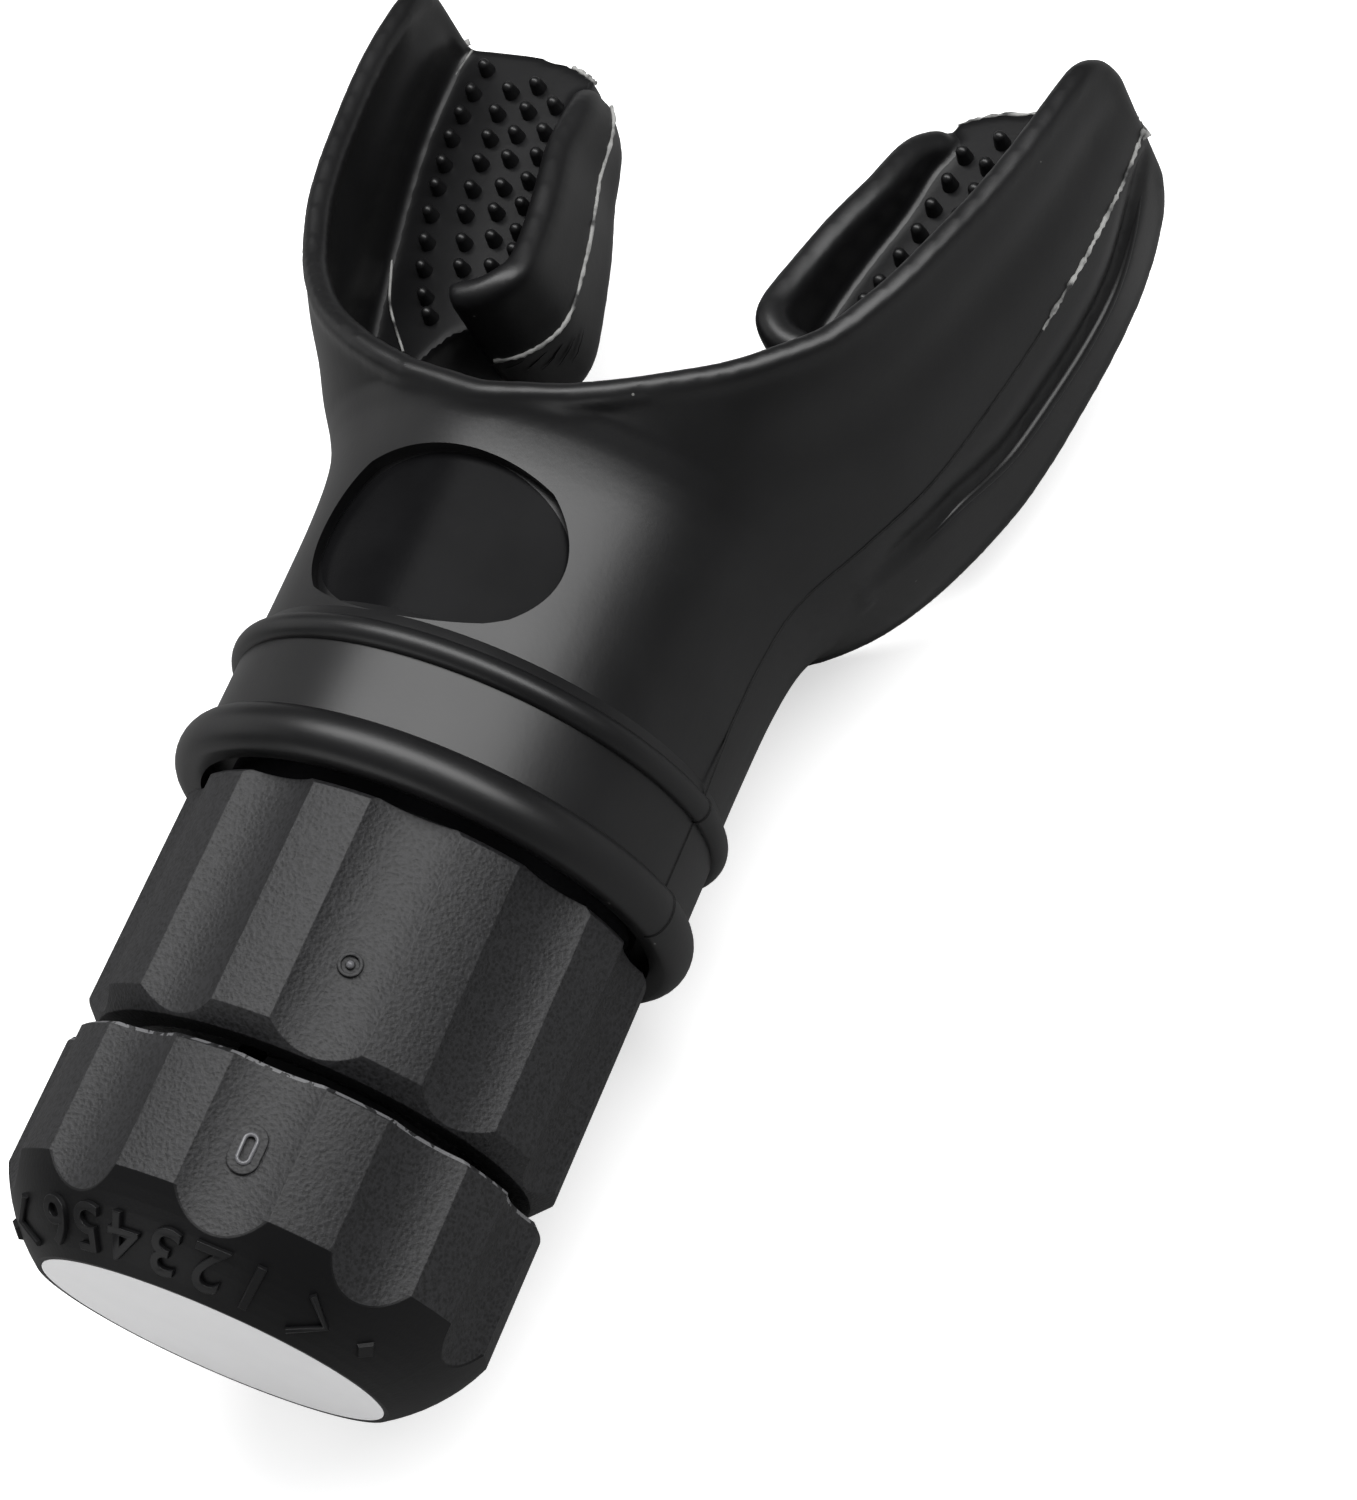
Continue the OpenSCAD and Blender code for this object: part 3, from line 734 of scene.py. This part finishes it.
def web_base_highlight_lines():
    """Thin raised line where each face of a web meets the outer wall; its pale paint is a painted highlight.
    """
    lines = []
    for side, face in product((1, -1), (1, -1)):
        points = []
        for t in steps(0, 1, 60):
            x, y = along(WEB_BASE, t)
            points.append((side * (x - BASE_LINE_INSET), y, face * (WEB_HALF + BASE_LINE_R)))
        lines.append(tube(points, BASE_LINE_R, "line", sides=2))
    return lines


def outer_flash(side):
    """Torn flash on the parting line near a wing tip."""
    line = []
    for s in steps(*OUTER_FLASH_SPAN, 70):
        line.append((side * (half_width(s) + OUTER_FLASH_PROUD), wing_y(s), smooth(PARTING, s)))
    return ragged(line, OUTER_FLASH, 3 + side, "outer_flash")


def inner_flash(side):
    """Torn flash along the inner wall of a wing, in the middle plane."""
    line = []
    for t in steps(*INNER_FLASH_SPAN, 70):
        x, y = beside(CREST, t, INNER_FLASH_OUT)
        line.append((side * x, y, 0.0))
    return ragged(line, INNER_FLASH, 7 + side, "inner_flash")


def tip_flash(side):
    """Torn flash along the edge of a web at the wing tip."""
    edge = [along(WEB_TIP, t) for t in steps(0, TIP_FLASH_SHARES[side], 25)]
    return ragged([(side * x, y + 0.05, TIP_FLASH_Z) for x, y in edge], TIP_FLASH, 31 + side, "tip_flash")


def flap(at, size, turn, seed):
    """Scrap of thin flash with a ragged outer edge, lying level."""
    length, width = size
    chance = random.Random(seed)
    bm = bmesh.new()
    bmesh.ops.create_grid(bm, x_segments=10, y_segments=4, size=1)
    for v in bm.verts:
        torn = chance.uniform(0.3, 1) if v.co.y > 0.9 else 1
        reach = (v.co.y + 1) / 2 * width * torn
        v.co = Vector((v.co.x * length / 2, reach, chance.uniform(-0.04, 0.04)))
    bmesh.ops.solidify(bm, geom=bm.faces[:], thickness=FLAP_THICKNESS)
    place = Matrix.Translation(at) @ Matrix.Rotation(math.radians(turn), 4, "Z")
    bmesh.ops.transform(bm, matrix=place, verts=bm.verts)
    return new_piece("flap", bm, 60)


def mould_flash_and_highlight_lines(pale):
    """Pale flash left by the mould: torn lines on wings and webs, scraps at the tips; pale lines at the webs
    as painted highlight.
    """
    (x, y, z), size, turn, seed = WING_END_SCRAP
    pieces = []
    for side in (1, -1):
        pieces.append(outer_flash(side))
        pieces.append(inner_flash(side))
        pieces.append(flap((side * x, y, z), size, side * turn, seed + side))
        pieces.append(tip_flash(side))
    pieces += [flap(*scrap) for scrap in WEB_TIP_SCRAPS]
    # The web base lines take the same pale paint, as a painted highlight
    piece = merge(pieces + web_base_highlight_lines(), "mould_flash_and_highlight_lines")
    finish_shading(piece, 60)
    dress(piece, pale)
    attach(piece, "housing")


def on_cone(turn, up, out):
    """Point on the cap's cone: angle in degrees, distance up the slope and height over it."""
    t = up / CONE_SLOPE
    out += 4 * CONE_BULGE * t * (1 - t)
    radius = CAP_FACE_R + (CAP_R - CAP_FACE_R) * t + out * CONE_LENGTH / CONE_SLOPE
    y = CONE_LENGTH * t - out * (CAP_R - CAP_FACE_R) / CONE_SLOPE
    a = math.radians(turn)
    return Vector((radius * math.cos(a), y, radius * math.sin(a)))


def bend_on_cone(piece, turn, up):
    """Lays a flat mesh on the cone, its top toward the end face."""
    middle = CAP_FACE_R + (CAP_R - CAP_FACE_R) * up / CONE_SLOPE
    for v in piece.data.vertices:
        x, y, z = v.co / MM
        v.co = on_cone(turn + math.degrees(x / middle), up - y, z) * MM


def raised_number(digit):
    """Plain raised figure."""
    curve = bpy.data.curves.new("number", "FONT")
    curve.body = digit
    curve.size = NUMBER_SIZE * MM
    curve.extrude = NUMBER_RISE * MM
    curve.bevel_depth = NUMBER_ROUND * MM
    curve.align_x = "CENTER"
    curve.align_y = "CENTER"
    return made_mesh("number", curve)


def arrow(way):
    """Raised chevron that points to one side."""
    corners = ((-ARROW_HALF_L, ARROW_HALF_W), (ARROW_HALF_L, 0), (-ARROW_HALF_L, -ARROW_HALF_W))
    return tube([(way * x, y, ARROW_RISE) for x, y in corners], ARROW_R, "arrow", sides=2)


def diamond():
    """Raised square that stands on its corner."""
    bm = bmesh.new()
    bmesh.ops.create_cone(bm, cap_ends=True, segments=4, radius1=DIAMOND_FOOT_R, radius2=DIAMOND_TOP_R,
                          depth=DIAMOND_HEIGHT)
    return new_piece("diamond", bm)


def dial_marks(material):
    """Raised band on the cap's cone: plain numbers between two arrows and two diamonds."""
    marks = []
    for i, digit in enumerate("123456"):
        marks.append((raised_number(digit), NUMBER_TURN + NUMBER_STEP * i, NUMBER_UP))
    marks += [(arrow(way), turn, MARK_UP) for turn, way in ARROWS]
    marks += [(diamond(), turn, MARK_UP) for turn in DIAMOND_TURNS]
    for mark, turn, up in marks:
        bend_on_cone(mark, turn, up)
    piece = merge([mark for mark, turn, up in marks], "dial_marks")
    finish_shading(piece, 50)
    dress(piece, material)
    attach(piece, "cap")


def on_flute(turn, radius, across, y):
    """Point on a grip flute: angle in degrees, distance from the axis, distance across and place."""
    a = math.radians(turn)
    x = radius * math.cos(a) - across * math.sin(a)
    return Vector((x, y, radius * math.sin(a) + across * math.cos(a)))


def index_glints(material):
    """Glossy edges of the two index marks, pale as a painted highlight: round the cap's slot and the dome in
    the barrel's ring.
    """
    points = []
    for i in range(28):
        a = 2 * math.pi * i / 28
        rise = SLOT_R * math.sin(a) + math.copysign(SLOT_HALF_STRAIGHT, math.sin(a))
        points.append(on_flute(SLOT_TURN, SLOT_AT_R, SLOT_R * math.cos(a), SLOT_Y + rise))
    ring = tube(points, SLOT_EDGE_R, "cap_index_edge", closed=True, sides=2)
    bm = bmesh.new()
    bmesh.ops.create_uvsphere(bm, u_segments=20, v_segments=12, radius=DOME_R,
                              matrix=Matrix.Translation(on_flute(DOME_TURN, DOME_AT_R, 0, DOME_Y)))
    dome = new_piece("barrel_index_dome", bm)
    for piece, body in ((ring, "cap"), (dome, "housing")):
        finish_shading(piece, 60)
        dress(piece, material)
        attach(piece, body)


def grip_ring(material):
    """The round rubber ring in the stem's groove, full and smooth where the CAD solid is plain."""
    low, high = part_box("drag_ring")
    section = (high.y - low.y) / 2 / MM
    ring = (high.x - low.x) / 2 / MM - section
    middle = (high.y + low.y) / 2 / MM
    bm = bmesh.new()
    made = bmesh.ops.create_circle(bm, segments=24, radius=section)["verts"]
    for v in made:
        v.co = Vector((ring + v.co.x, middle + v.co.y, 0))
    piece = turned("grip_o_ring", bm, made + bm.edges[:], 120)
    dress(piece, material)
    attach(piece, "seal")
    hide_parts("drag_ring")


def node(tree, kind, inputs=None, **settings):
    """Adds a node with its settings; an input is a value, a socket, or a node for the output that it uses."""
    made = tree.nodes.new(kind)
    for key, value in settings.items():
        setattr(made, key, value)
    for key, value in (inputs or {}).items():
        if isinstance(value, bpy.types.Node):
            value = next(socket for socket in value.outputs if socket.enabled)
        if isinstance(value, bpy.types.NodeSocket):
            tree.links.new(value, made.inputs[key])
        else:
            made.inputs[key].default_value = value
    return made


def linear(code):
    """Linear colour from an sRGB hex value."""
    parts = [int(code[i:i + 2], 16) / 255 for i in (1, 3, 5)]
    return tuple(p / 12.92 if p <= 0.04045 else ((p + 0.055) / 1.055) ** 2.4 for p in parts) + (1,)


def set_stops(ramp, *stops):
    """Places and colours of a colour ramp."""
    for i, (place, code) in enumerate(stops):
        ramp.color_ramp.elements[i].position = place
        ramp.color_ramp.elements[i].color = linear(code)


def pattern_scale(size_mm):
    """Texture scale for features of a real size."""
    return 1 / (size_mm * MM)


def new_material(name):
    """Empty material, with its tree and the place on the piece."""
    material = bpy.data.materials.new(name)
    material.use_nodes = True
    tree = material.node_tree
    tree.nodes.clear()
    place = node(tree, "ShaderNodeTexCoord").outputs["Object"]
    return material, tree, place


def airway_radius(tree, parts):
    """Distance from the airway's axis."""
    flat = node(tree, "ShaderNodeCombineXYZ", {"X": parts.outputs["X"], "Z": parts.outputs["Z"]})
    return node(tree, "ShaderNodeVectorMath", {0: flat}, operation="LENGTH")


def dust_mask(tree, place):
    """A few small specks of dust."""
    cells = node(tree, "ShaderNodeTexVoronoi", {"Vector": place, "Scale": pattern_scale(2.6)})
    speck = node(tree, "ShaderNodeMath", {0: cells, 1: 0.04}, operation="LESS_THAN")
    patch = node(tree, "ShaderNodeTexNoise", {"Vector": place, "Scale": pattern_scale(7), "Detail": 0.0})
    rare = node(tree, "ShaderNodeMath", {0: patch, 1: 0.6}, operation="GREATER_THAN")
    return node(tree, "ShaderNodeMath", {0: speck, 1: rare}, operation="MULTIPLY")


def pocket_mask(tree, parts):
    """The floor and sides of the oval pocket on the neck."""
    across = node(tree, "ShaderNodeMath", {0: parts.outputs["X"], 1: POCKET_HALF_W * MM}, operation="DIVIDE")
    off = node(tree, "ShaderNodeMath", {0: parts.outputs["Y"], 1: POCKET_Y * MM}, operation="SUBTRACT")
    down = node(tree, "ShaderNodeMath", {0: off, 1: POCKET_HALF_L * MM}, operation="DIVIDE")
    square = node(tree, "ShaderNodeMath", {0: down, 1: down}, operation="MULTIPLY")
    spread = node(tree, "ShaderNodeMath", {0: across, 1: across, 2: square}, operation="MULTIPLY_ADD")
    oval = node(tree, "ShaderNodeMath", {0: spread, 1: 0.985}, operation="LESS_THAN")
    radius = airway_radius(tree, parts)
    sunk = node(tree, "ShaderNodeMath", {0: radius, 1: (BODY_R - 0.5) * MM}, operation="LESS_THAN")
    upper = node(tree, "ShaderNodeMath", {0: parts.outputs["Z"], 1: 0.0}, operation="GREATER_THAN")
    deep = node(tree, "ShaderNodeMath", {0: sunk, 1: upper}, operation="MULTIPLY")
    return node(tree, "ShaderNodeMath", {0: oval, 1: deep}, operation="MULTIPLY")


def web_mask(tree, parts):
    """The level faces of the bite webs."""
    geometry = node(tree, "ShaderNodeNewGeometry")
    normal = node(tree, "ShaderNodeSeparateXYZ", {"Vector": geometry.outputs["Normal"]})
    upright = node(tree, "ShaderNodeMath", {0: normal.outputs["Z"]}, operation="ABSOLUTE")
    level = node(tree, "ShaderNodeMath", {0: upright, 1: 0.93}, operation="GREATER_THAN")
    height = node(tree, "ShaderNodeMath", {0: parts.outputs["Z"]}, operation="ABSOLUTE")
    low = node(tree, "ShaderNodeMath", {0: height, 1: (WEB_HALF + 0.15) * MM}, operation="LESS_THAN")
    flat = node(tree, "ShaderNodeMath", {0: level, 1: low}, operation="MULTIPLY")
    behind = node(tree, "ShaderNodeMath", {
        0: parts.outputs["Y"], 1: WEB_FRONT_Y * MM}, operation="GREATER_THAN")
    return node(tree, "ShaderNodeMath", {0: flat, 1: behind}, operation="MULTIPLY")


def moulded_rubber():
    """Black rubber from a polished mould: a soft sheen, cloudy bloom, dust specks and a dim pocket floor."""
    material, tree, place = new_material("moulded_black_rubber")
    cloud = node(tree, "ShaderNodeTexNoise", {"Vector": place, "Scale": pattern_scale(9), "Detail": 4.0})
    bloom = node(tree, "ShaderNodeValToRGB", {"Fac": cloud})
    set_stops(bloom, (0.35, "#0e0e0f"), (0.7, "#161617"))
    base = node(tree, "ShaderNodeMix", {
        0: dust_mask(tree, place), COLOUR_A: bloom, COLOUR_B: linear("#6e6e6c")}, data_type="RGBA")
    parts = node(tree, "ShaderNodeSeparateXYZ", {"Vector": place})
    pocket = pocket_mask(tree, parts)
    cloudy = node(tree, "ShaderNodeMapRange", {"Value": cloud, "To Min": 0.33, "To Max": 0.43})
    sheen = node(tree, "ShaderNodeMix", {"Factor": pocket, "A": cloudy, "B": 0.26})
    fine = node(tree, "ShaderNodeTexNoise", {"Vector": place, "Scale": pattern_scale(0.35), "Detail": 3.0})
    bump = node(tree, "ShaderNodeBump", {"Height": fine, "Strength": 0.12, "Distance": 0.05 * MM})
    dim = node(tree, "ShaderNodeMath", {0: pocket, 1: 0.47}, operation="MULTIPLY")
    web = web_mask(tree, parts)
    duller = node(tree, "ShaderNodeMath", {0: web, 1: 0.3, 2: dim}, operation="MULTIPLY_ADD")
    gloss = node(tree, "ShaderNodeMath", {0: 0.5, 1: duller}, operation="SUBTRACT")
    shader = node(tree, "ShaderNodeBsdfPrincipled", {
        "Base Color": base, "Roughness": sheen, "IOR": 1.5, "Specular IOR Level": gloss, "Normal": bump})
    node(tree, "ShaderNodeOutputMaterial", {"Surface": shader})
    return material


def torn_flash_and_highlight_paint():
    """Thin torn rubber flash: dark where it is thick and pale where it is stretched thin; on the web base
    lines its pale is painted highlight.
    """
    material, tree, place = new_material("torn_rubber_flash_and_highlight_paint")
    patch = node(tree, "ShaderNodeTexNoise", {"Vector": place, "Scale": pattern_scale(1.6), "Detail": 3.0})
    colour = node(tree, "ShaderNodeValToRGB", {"Fac": patch})
    set_stops(colour, (0.32, "#303030"), (0.54, "#9a9a98"))
    shader = node(tree, "ShaderNodeBsdfPrincipled", {"Base Color": colour, "Roughness": 0.5, "IOR": 1.45})
    node(tree, "ShaderNodeOutputMaterial", {"Surface": shader})
    return material


def moulded_abs(tree, colour, relief, strength, roughness, rounding=0.12, gloss=0.5):
    """Moulded ABS surface whose edges are rounded in the shading by a radius in millimetres."""
    soft = node(tree, "ShaderNodeBevel", {"Radius": rounding * MM}, samples=6)
    bump = node(tree, "ShaderNodeBump", {
        "Height": relief, "Strength": strength, "Distance": 0.06 * MM, "Normal": soft})
    shader = node(tree, "ShaderNodeBsdfPrincipled", {
        "Base Color": colour, "Roughness": roughness, "IOR": 1.5, "Specular IOR Level": gloss,
        "Normal": bump})
    node(tree, "ShaderNodeOutputMaterial", {"Surface": shader})


def leathery_grain(tree, place):
    """Relief of a spark-eroded mould, and the charcoal colour that follows it."""
    fine = node(tree, "ShaderNodeTexNoise", {"Vector": place, "Scale": pattern_scale(0.2), "Detail": 3.0})
    cells = node(tree, "ShaderNodeTexVoronoi", {"Vector": place, "Scale": pattern_scale(0.3)})
    relief = node(tree, "ShaderNodeMath", {0: cells, 1: 0.7, 2: fine}, operation="MULTIPLY_ADD")
    colour = node(tree, "ShaderNodeValToRGB", {"Fac": relief})
    set_stops(colour, (0.6, "#101011"), (1.0, "#202022"))
    return relief, colour


def grained_abs():
    """Charcoal ABS from a spark-eroded mould: a dull leathery grain on the grip."""
    material, tree, place = new_material("grained_charcoal_abs")
    relief, colour = leathery_grain(tree, place)
    moulded_abs(tree, colour, relief, 0.6, 0.54)
    return material


def cone_mask(tree, parts, radius):
    """The cap's cone, whose limit follows its bulge."""
    share = node(tree, "ShaderNodeMath", {0: parts.outputs["Y"], 1: CONE_LENGTH * MM}, operation="DIVIDE")
    slope = node(tree, "ShaderNodeMath", {
        0: share, 1: (CAP_R - CAP_FACE_R) * MM, 2: (CAP_FACE_R - 0.15) * MM}, operation="MULTIPLY_ADD")
    rest = node(tree, "ShaderNodeMath", {0: 1.0, 1: share}, operation="SUBTRACT")
    hump = node(tree, "ShaderNodeMath", {0: share, 1: rest}, operation="MULTIPLY")
    limit = node(tree, "ShaderNodeMath", {
        0: hump, 1: 4 * CONE_BULGE * CONE_SLOPE / CONE_LENGTH * MM, 2: slope}, operation="MULTIPLY_ADD")
    outside = node(tree, "ShaderNodeMath", {0: radius, 1: limit}, operation="GREATER_THAN")
    ahead = node(tree, "ShaderNodeMath", {
        0: parts.outputs["Y"], 1: (CONE_LENGTH + 0.02) * MM}, operation="LESS_THAN")
    return node(tree, "ShaderNodeMath", {0: outside, 1: ahead}, operation="MULTIPLY")


def worn_lip_mask(tree, place, parts, radius):
    """Chips along the outer edge of the cap's end at the barrel."""
    chips = node(tree, "ShaderNodeTexNoise", {"Vector": place, "Scale": pattern_scale(0.9), "Detail": 3.0})
    chipped = node(tree, "ShaderNodeMath", {0: chips, 1: 0.47}, operation="GREATER_THAN")
    top = node(tree, "ShaderNodeMath", {
        0: parts.outputs["Y"], 1: (CAP_LENGTH - CHIP_DEPTH) * MM, 2: CHIP_HALF * MM}, operation="COMPARE")
    outer = node(tree, "ShaderNodeMath", {0: radius, 1: (CAP_R - CHIP_WIDTH) * MM}, operation="GREATER_THAN")
    lip = node(tree, "ShaderNodeMath", {0: top, 1: outer}, operation="MULTIPLY")
    return node(tree, "ShaderNodeMath", {0: lip, 1: chipped}, operation="MULTIPLY")


def grained_cap_abs():
    """The grip's grained ABS on the cap: smoother on the cone, darker there as painted shade, paler where the
    lip is chipped.
    """
    material, tree, place = new_material("grained_charcoal_abs_cap")
    relief, colour = leathery_grain(tree, place)
    parts = node(tree, "ShaderNodeSeparateXYZ", {"Vector": place})
    radius = airway_radius(tree, parts)
    cone = cone_mask(tree, parts, radius)
    worn = worn_lip_mask(tree, place, parts, radius)
    # The cone's darker colour is painted shade
    darker = node(tree, "ShaderNodeMix", {
        0: cone, COLOUR_A: colour, COLOUR_B: linear("#101011")}, data_type="RGBA")
    chipped = node(tree, "ShaderNodeMix", {
        0: worn, COLOUR_A: darker, COLOUR_B: linear("#5c5c5e")}, data_type="RGBA")
    rough = node(tree, "ShaderNodeMapRange", {"Value": cone, "To Min": 0.54, "To Max": 0.42})
    smoother = node(tree, "ShaderNodeMath", {0: cone, 1: -0.8, 2: 1.0}, operation="MULTIPLY_ADD")
    quiet = node(tree, "ShaderNodeMath", {0: relief, 1: smoother}, operation="MULTIPLY")
    gloss = node(tree, "ShaderNodeMath", {0: cone, 1: -0.28, 2: 0.5}, operation="MULTIPLY_ADD")
    moulded_abs(tree, chipped, quiet, 0.55, rough, gloss=gloss)
    return material


def polished_figures():
    """The same ABS where the mould is polished: smooth raised figures with soft edges."""
    material, tree, place = new_material("polished_mould_abs")
    fine = node(tree, "ShaderNodeTexNoise", {"Vector": place, "Scale": pattern_scale(0.9), "Detail": 2.0})
    moulded_abs(tree, linear("#121213"), fine, 0.1, 0.36, rounding=0.06, gloss=0.3)
    return material


def plain_finish(name, code, roughness, size_mm, strength, metallic=0.0):
    """Even finish with a faint texture of a real size."""
    material, tree, place = new_material(name)
    fine = node(tree, "ShaderNodeTexNoise", {"Vector": place, "Scale": pattern_scale(size_mm), "Detail": 3.0})
    rough = node(tree, "ShaderNodeMapRange", {
        "Value": fine, "To Min": roughness * 0.85, "To Max": roughness * 1.15})
    bump = node(tree, "ShaderNodeBump", {"Height": fine, "Strength": strength, "Distance": 0.05 * MM})
    shader = node(tree, "ShaderNodeBsdfPrincipled", {
        "Base Color": linear(code), "Roughness": rough, "Metallic": metallic, "Normal": bump})
    node(tree, "ShaderNodeOutputMaterial", {"Surface": shader})
    return material


def shadowed_line():
    """Dull near-black rubber: painted shade in the fine step of the parting line."""
    return plain_finish("parting_line_shadow", "#050505", 0.75, 0.5, 0.1)


def glint_paint_edge():
    """Shiny ABS painted pale: a painted highlight on the edges that stand out."""
    return plain_finish("glossy_abs_painted_glint", "#5e5e61", 0.16, 0.8, 0.02)


def polished_black_abs():
    """Black ABS from a polished mould: a clear gloss with a faint ripple."""
    return plain_finish("polished_black_abs", "#1a1a1c", 0.25, 1.5, 0.05)


def moulded_charcoal_abs():
    """Charcoal ABS from a plain mould: half dull."""
    return plain_finish("moulded_charcoal_abs", "#28282b", 0.4, 1.0, 0.1)


def greased_nitrile_rubber():
    """Nitrile rubber wetted by grease: black with a soft shine."""
    return plain_finish("greased_nitrile_rubber", "#121212", 0.3, 0.6, 0.1)


def spring_steel():
    """Drawn spring steel: grey metal with a fine tooth."""
    return plain_finish("spring_steel", "#8f9196", 0.35, 0.3, 0.1, 1.0)


def gloss_label_film():
    """White film under a gloss coat: almost flat, with clear reflections."""
    return plain_finish("gloss_label_film", "#f4f4f5", 0.22, 6.0, 0.02)


def camera():
    """The photograph's camera."""
    data = bpy.data.cameras.new("camera")
    data.lens = LENS
    data.sensor_width = 36
    data.clip_start = 0.01
    data.clip_end = 5
    turn = Matrix((CAMERA_RIGHT, CAMERA_UP, CAMERA_BACK)).transposed().to_4x4()
    view = linked("camera", data)
    view.matrix_world = Matrix.Translation(CAMERA_AT * MM) @ turn
    bpy.context.scene.camera = view


def lamp(name, at_mm, size_mm, watts):
    """Area lamp that faces the middle of the object."""
    data = bpy.data.lights.new(name, "AREA")
    data.shape = "RECTANGLE"
    data.size, data.size_y = (v * MM for v in size_mm)
    data.energy = watts
    at = Vector(at_mm) * MM
    back = (at - LAMP_AIM * MM).normalized()
    across = (Vector((1, 0, 0)) - back * back.x).normalized()
    turn = Matrix((across, back.cross(across), back)).transposed().to_4x4()
    linked(name, data).matrix_world = Matrix.Translation(at) @ turn


def seen_directly(tree, path):
    """1 for camera and transmission rays, which see plain white behind the object."""
    return node(tree, "ShaderNodeMath", {
        0: path.outputs["Is Camera Ray"], 1: path.outputs["Is Transmission Ray"]}, operation="MAXIMUM")


def white_surround():
    """White world that is grey to matt rays and dim to glossy ones."""
    world = bpy.data.worlds.new("studio")
    world.use_nodes = True
    tree = world.node_tree
    tree.nodes.clear()
    path = node(tree, "ShaderNodeLightPath")
    unseen = node(tree, "ShaderNodeMath", {
        0: path.outputs["Is Glossy Ray"], 1: -0.44, 2: 0.52}, operation="MULTIPLY_ADD")
    level = node(tree, "ShaderNodeMath", {0: seen_directly(tree, path), 1: unseen}, operation="MAXIMUM")
    glow = node(tree, "ShaderNodeBackground", {"Color": (1, 1, 1, 1), "Strength": level})
    node(tree, "ShaderNodeOutputWorld", {"Surface": glow})
    bpy.context.scene.world = world
    bpy.context.scene.view_settings.view_transform = "Standard"


def white_table_paint():
    """Matt white paint: lifted to full white for the camera, and dim in reflections."""
    material, tree, _ = new_material("white_table")
    path = node(tree, "ShaderNodeLightPath")
    matt = node(tree, "ShaderNodeBsdfDiffuse", {"Color": (0.82, 0.82, 0.82, 1)})
    glow = node(tree, "ShaderNodeEmission", {"Color": (1, 1, 1, 1), "Strength": 0.55})
    lit = node(tree, "ShaderNodeAddShader", {0: matt, 1: glow})
    dim = node(tree, "ShaderNodeBsdfDiffuse", {"Color": (0.22, 0.22, 0.22, 1)})
    unseen = node(tree, "ShaderNodeMixShader", {0: path.outputs["Is Glossy Ray"], 1: matt, 2: dim})
    mix = node(tree, "ShaderNodeMixShader", {0: seen_directly(tree, path), 1: unseen, 2: lit})
    node(tree, "ShaderNodeOutputMaterial", {"Surface": mix})
    return material


def table():
    """Table under the lowest point of the part."""
    floor_z = min(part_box(name)[0].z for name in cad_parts)
    bm = bmesh.new()
    bmesh.ops.create_grid(bm, x_segments=1, y_segments=1, size=2)
    bmesh.ops.translate(bm, vec=(0, 0, floor_z), verts=bm.verts)
    mesh = bpy.data.meshes.new("floor")
    bm.to_mesh(mesh)
    bm.free()
    floor = linked("floor", mesh)
    dress(floor, white_table_paint())


mouthpiece(moulded_rubber())
mould_flash_and_highlight_lines(torn_flash_and_highlight_paint())
parting_line(shadowed_line())
dial_marks(polished_figures())
index_glints(glint_paint_edge())
grip_ring(greased_nitrile_rubber())
dress(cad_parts["barrel"], grained_abs())
dress(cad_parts["adjusting_cap"], grained_cap_abs())
dress(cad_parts["airway_tube"], polished_black_abs())
dress(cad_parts["valve_stem"], moulded_charcoal_abs())
dress(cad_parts["retaining_ring"], spring_steel())
dress(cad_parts["end_label"], gloss_label_film())

camera()
white_surround()
lamp("key", (63, 207, 466), (900, 220), 4.1)
lamp("side", (-400, 60, 150), (300, 300), 0.15)
lamp("front", (-150, -420, 140), (400, 260), 0.35)
table()
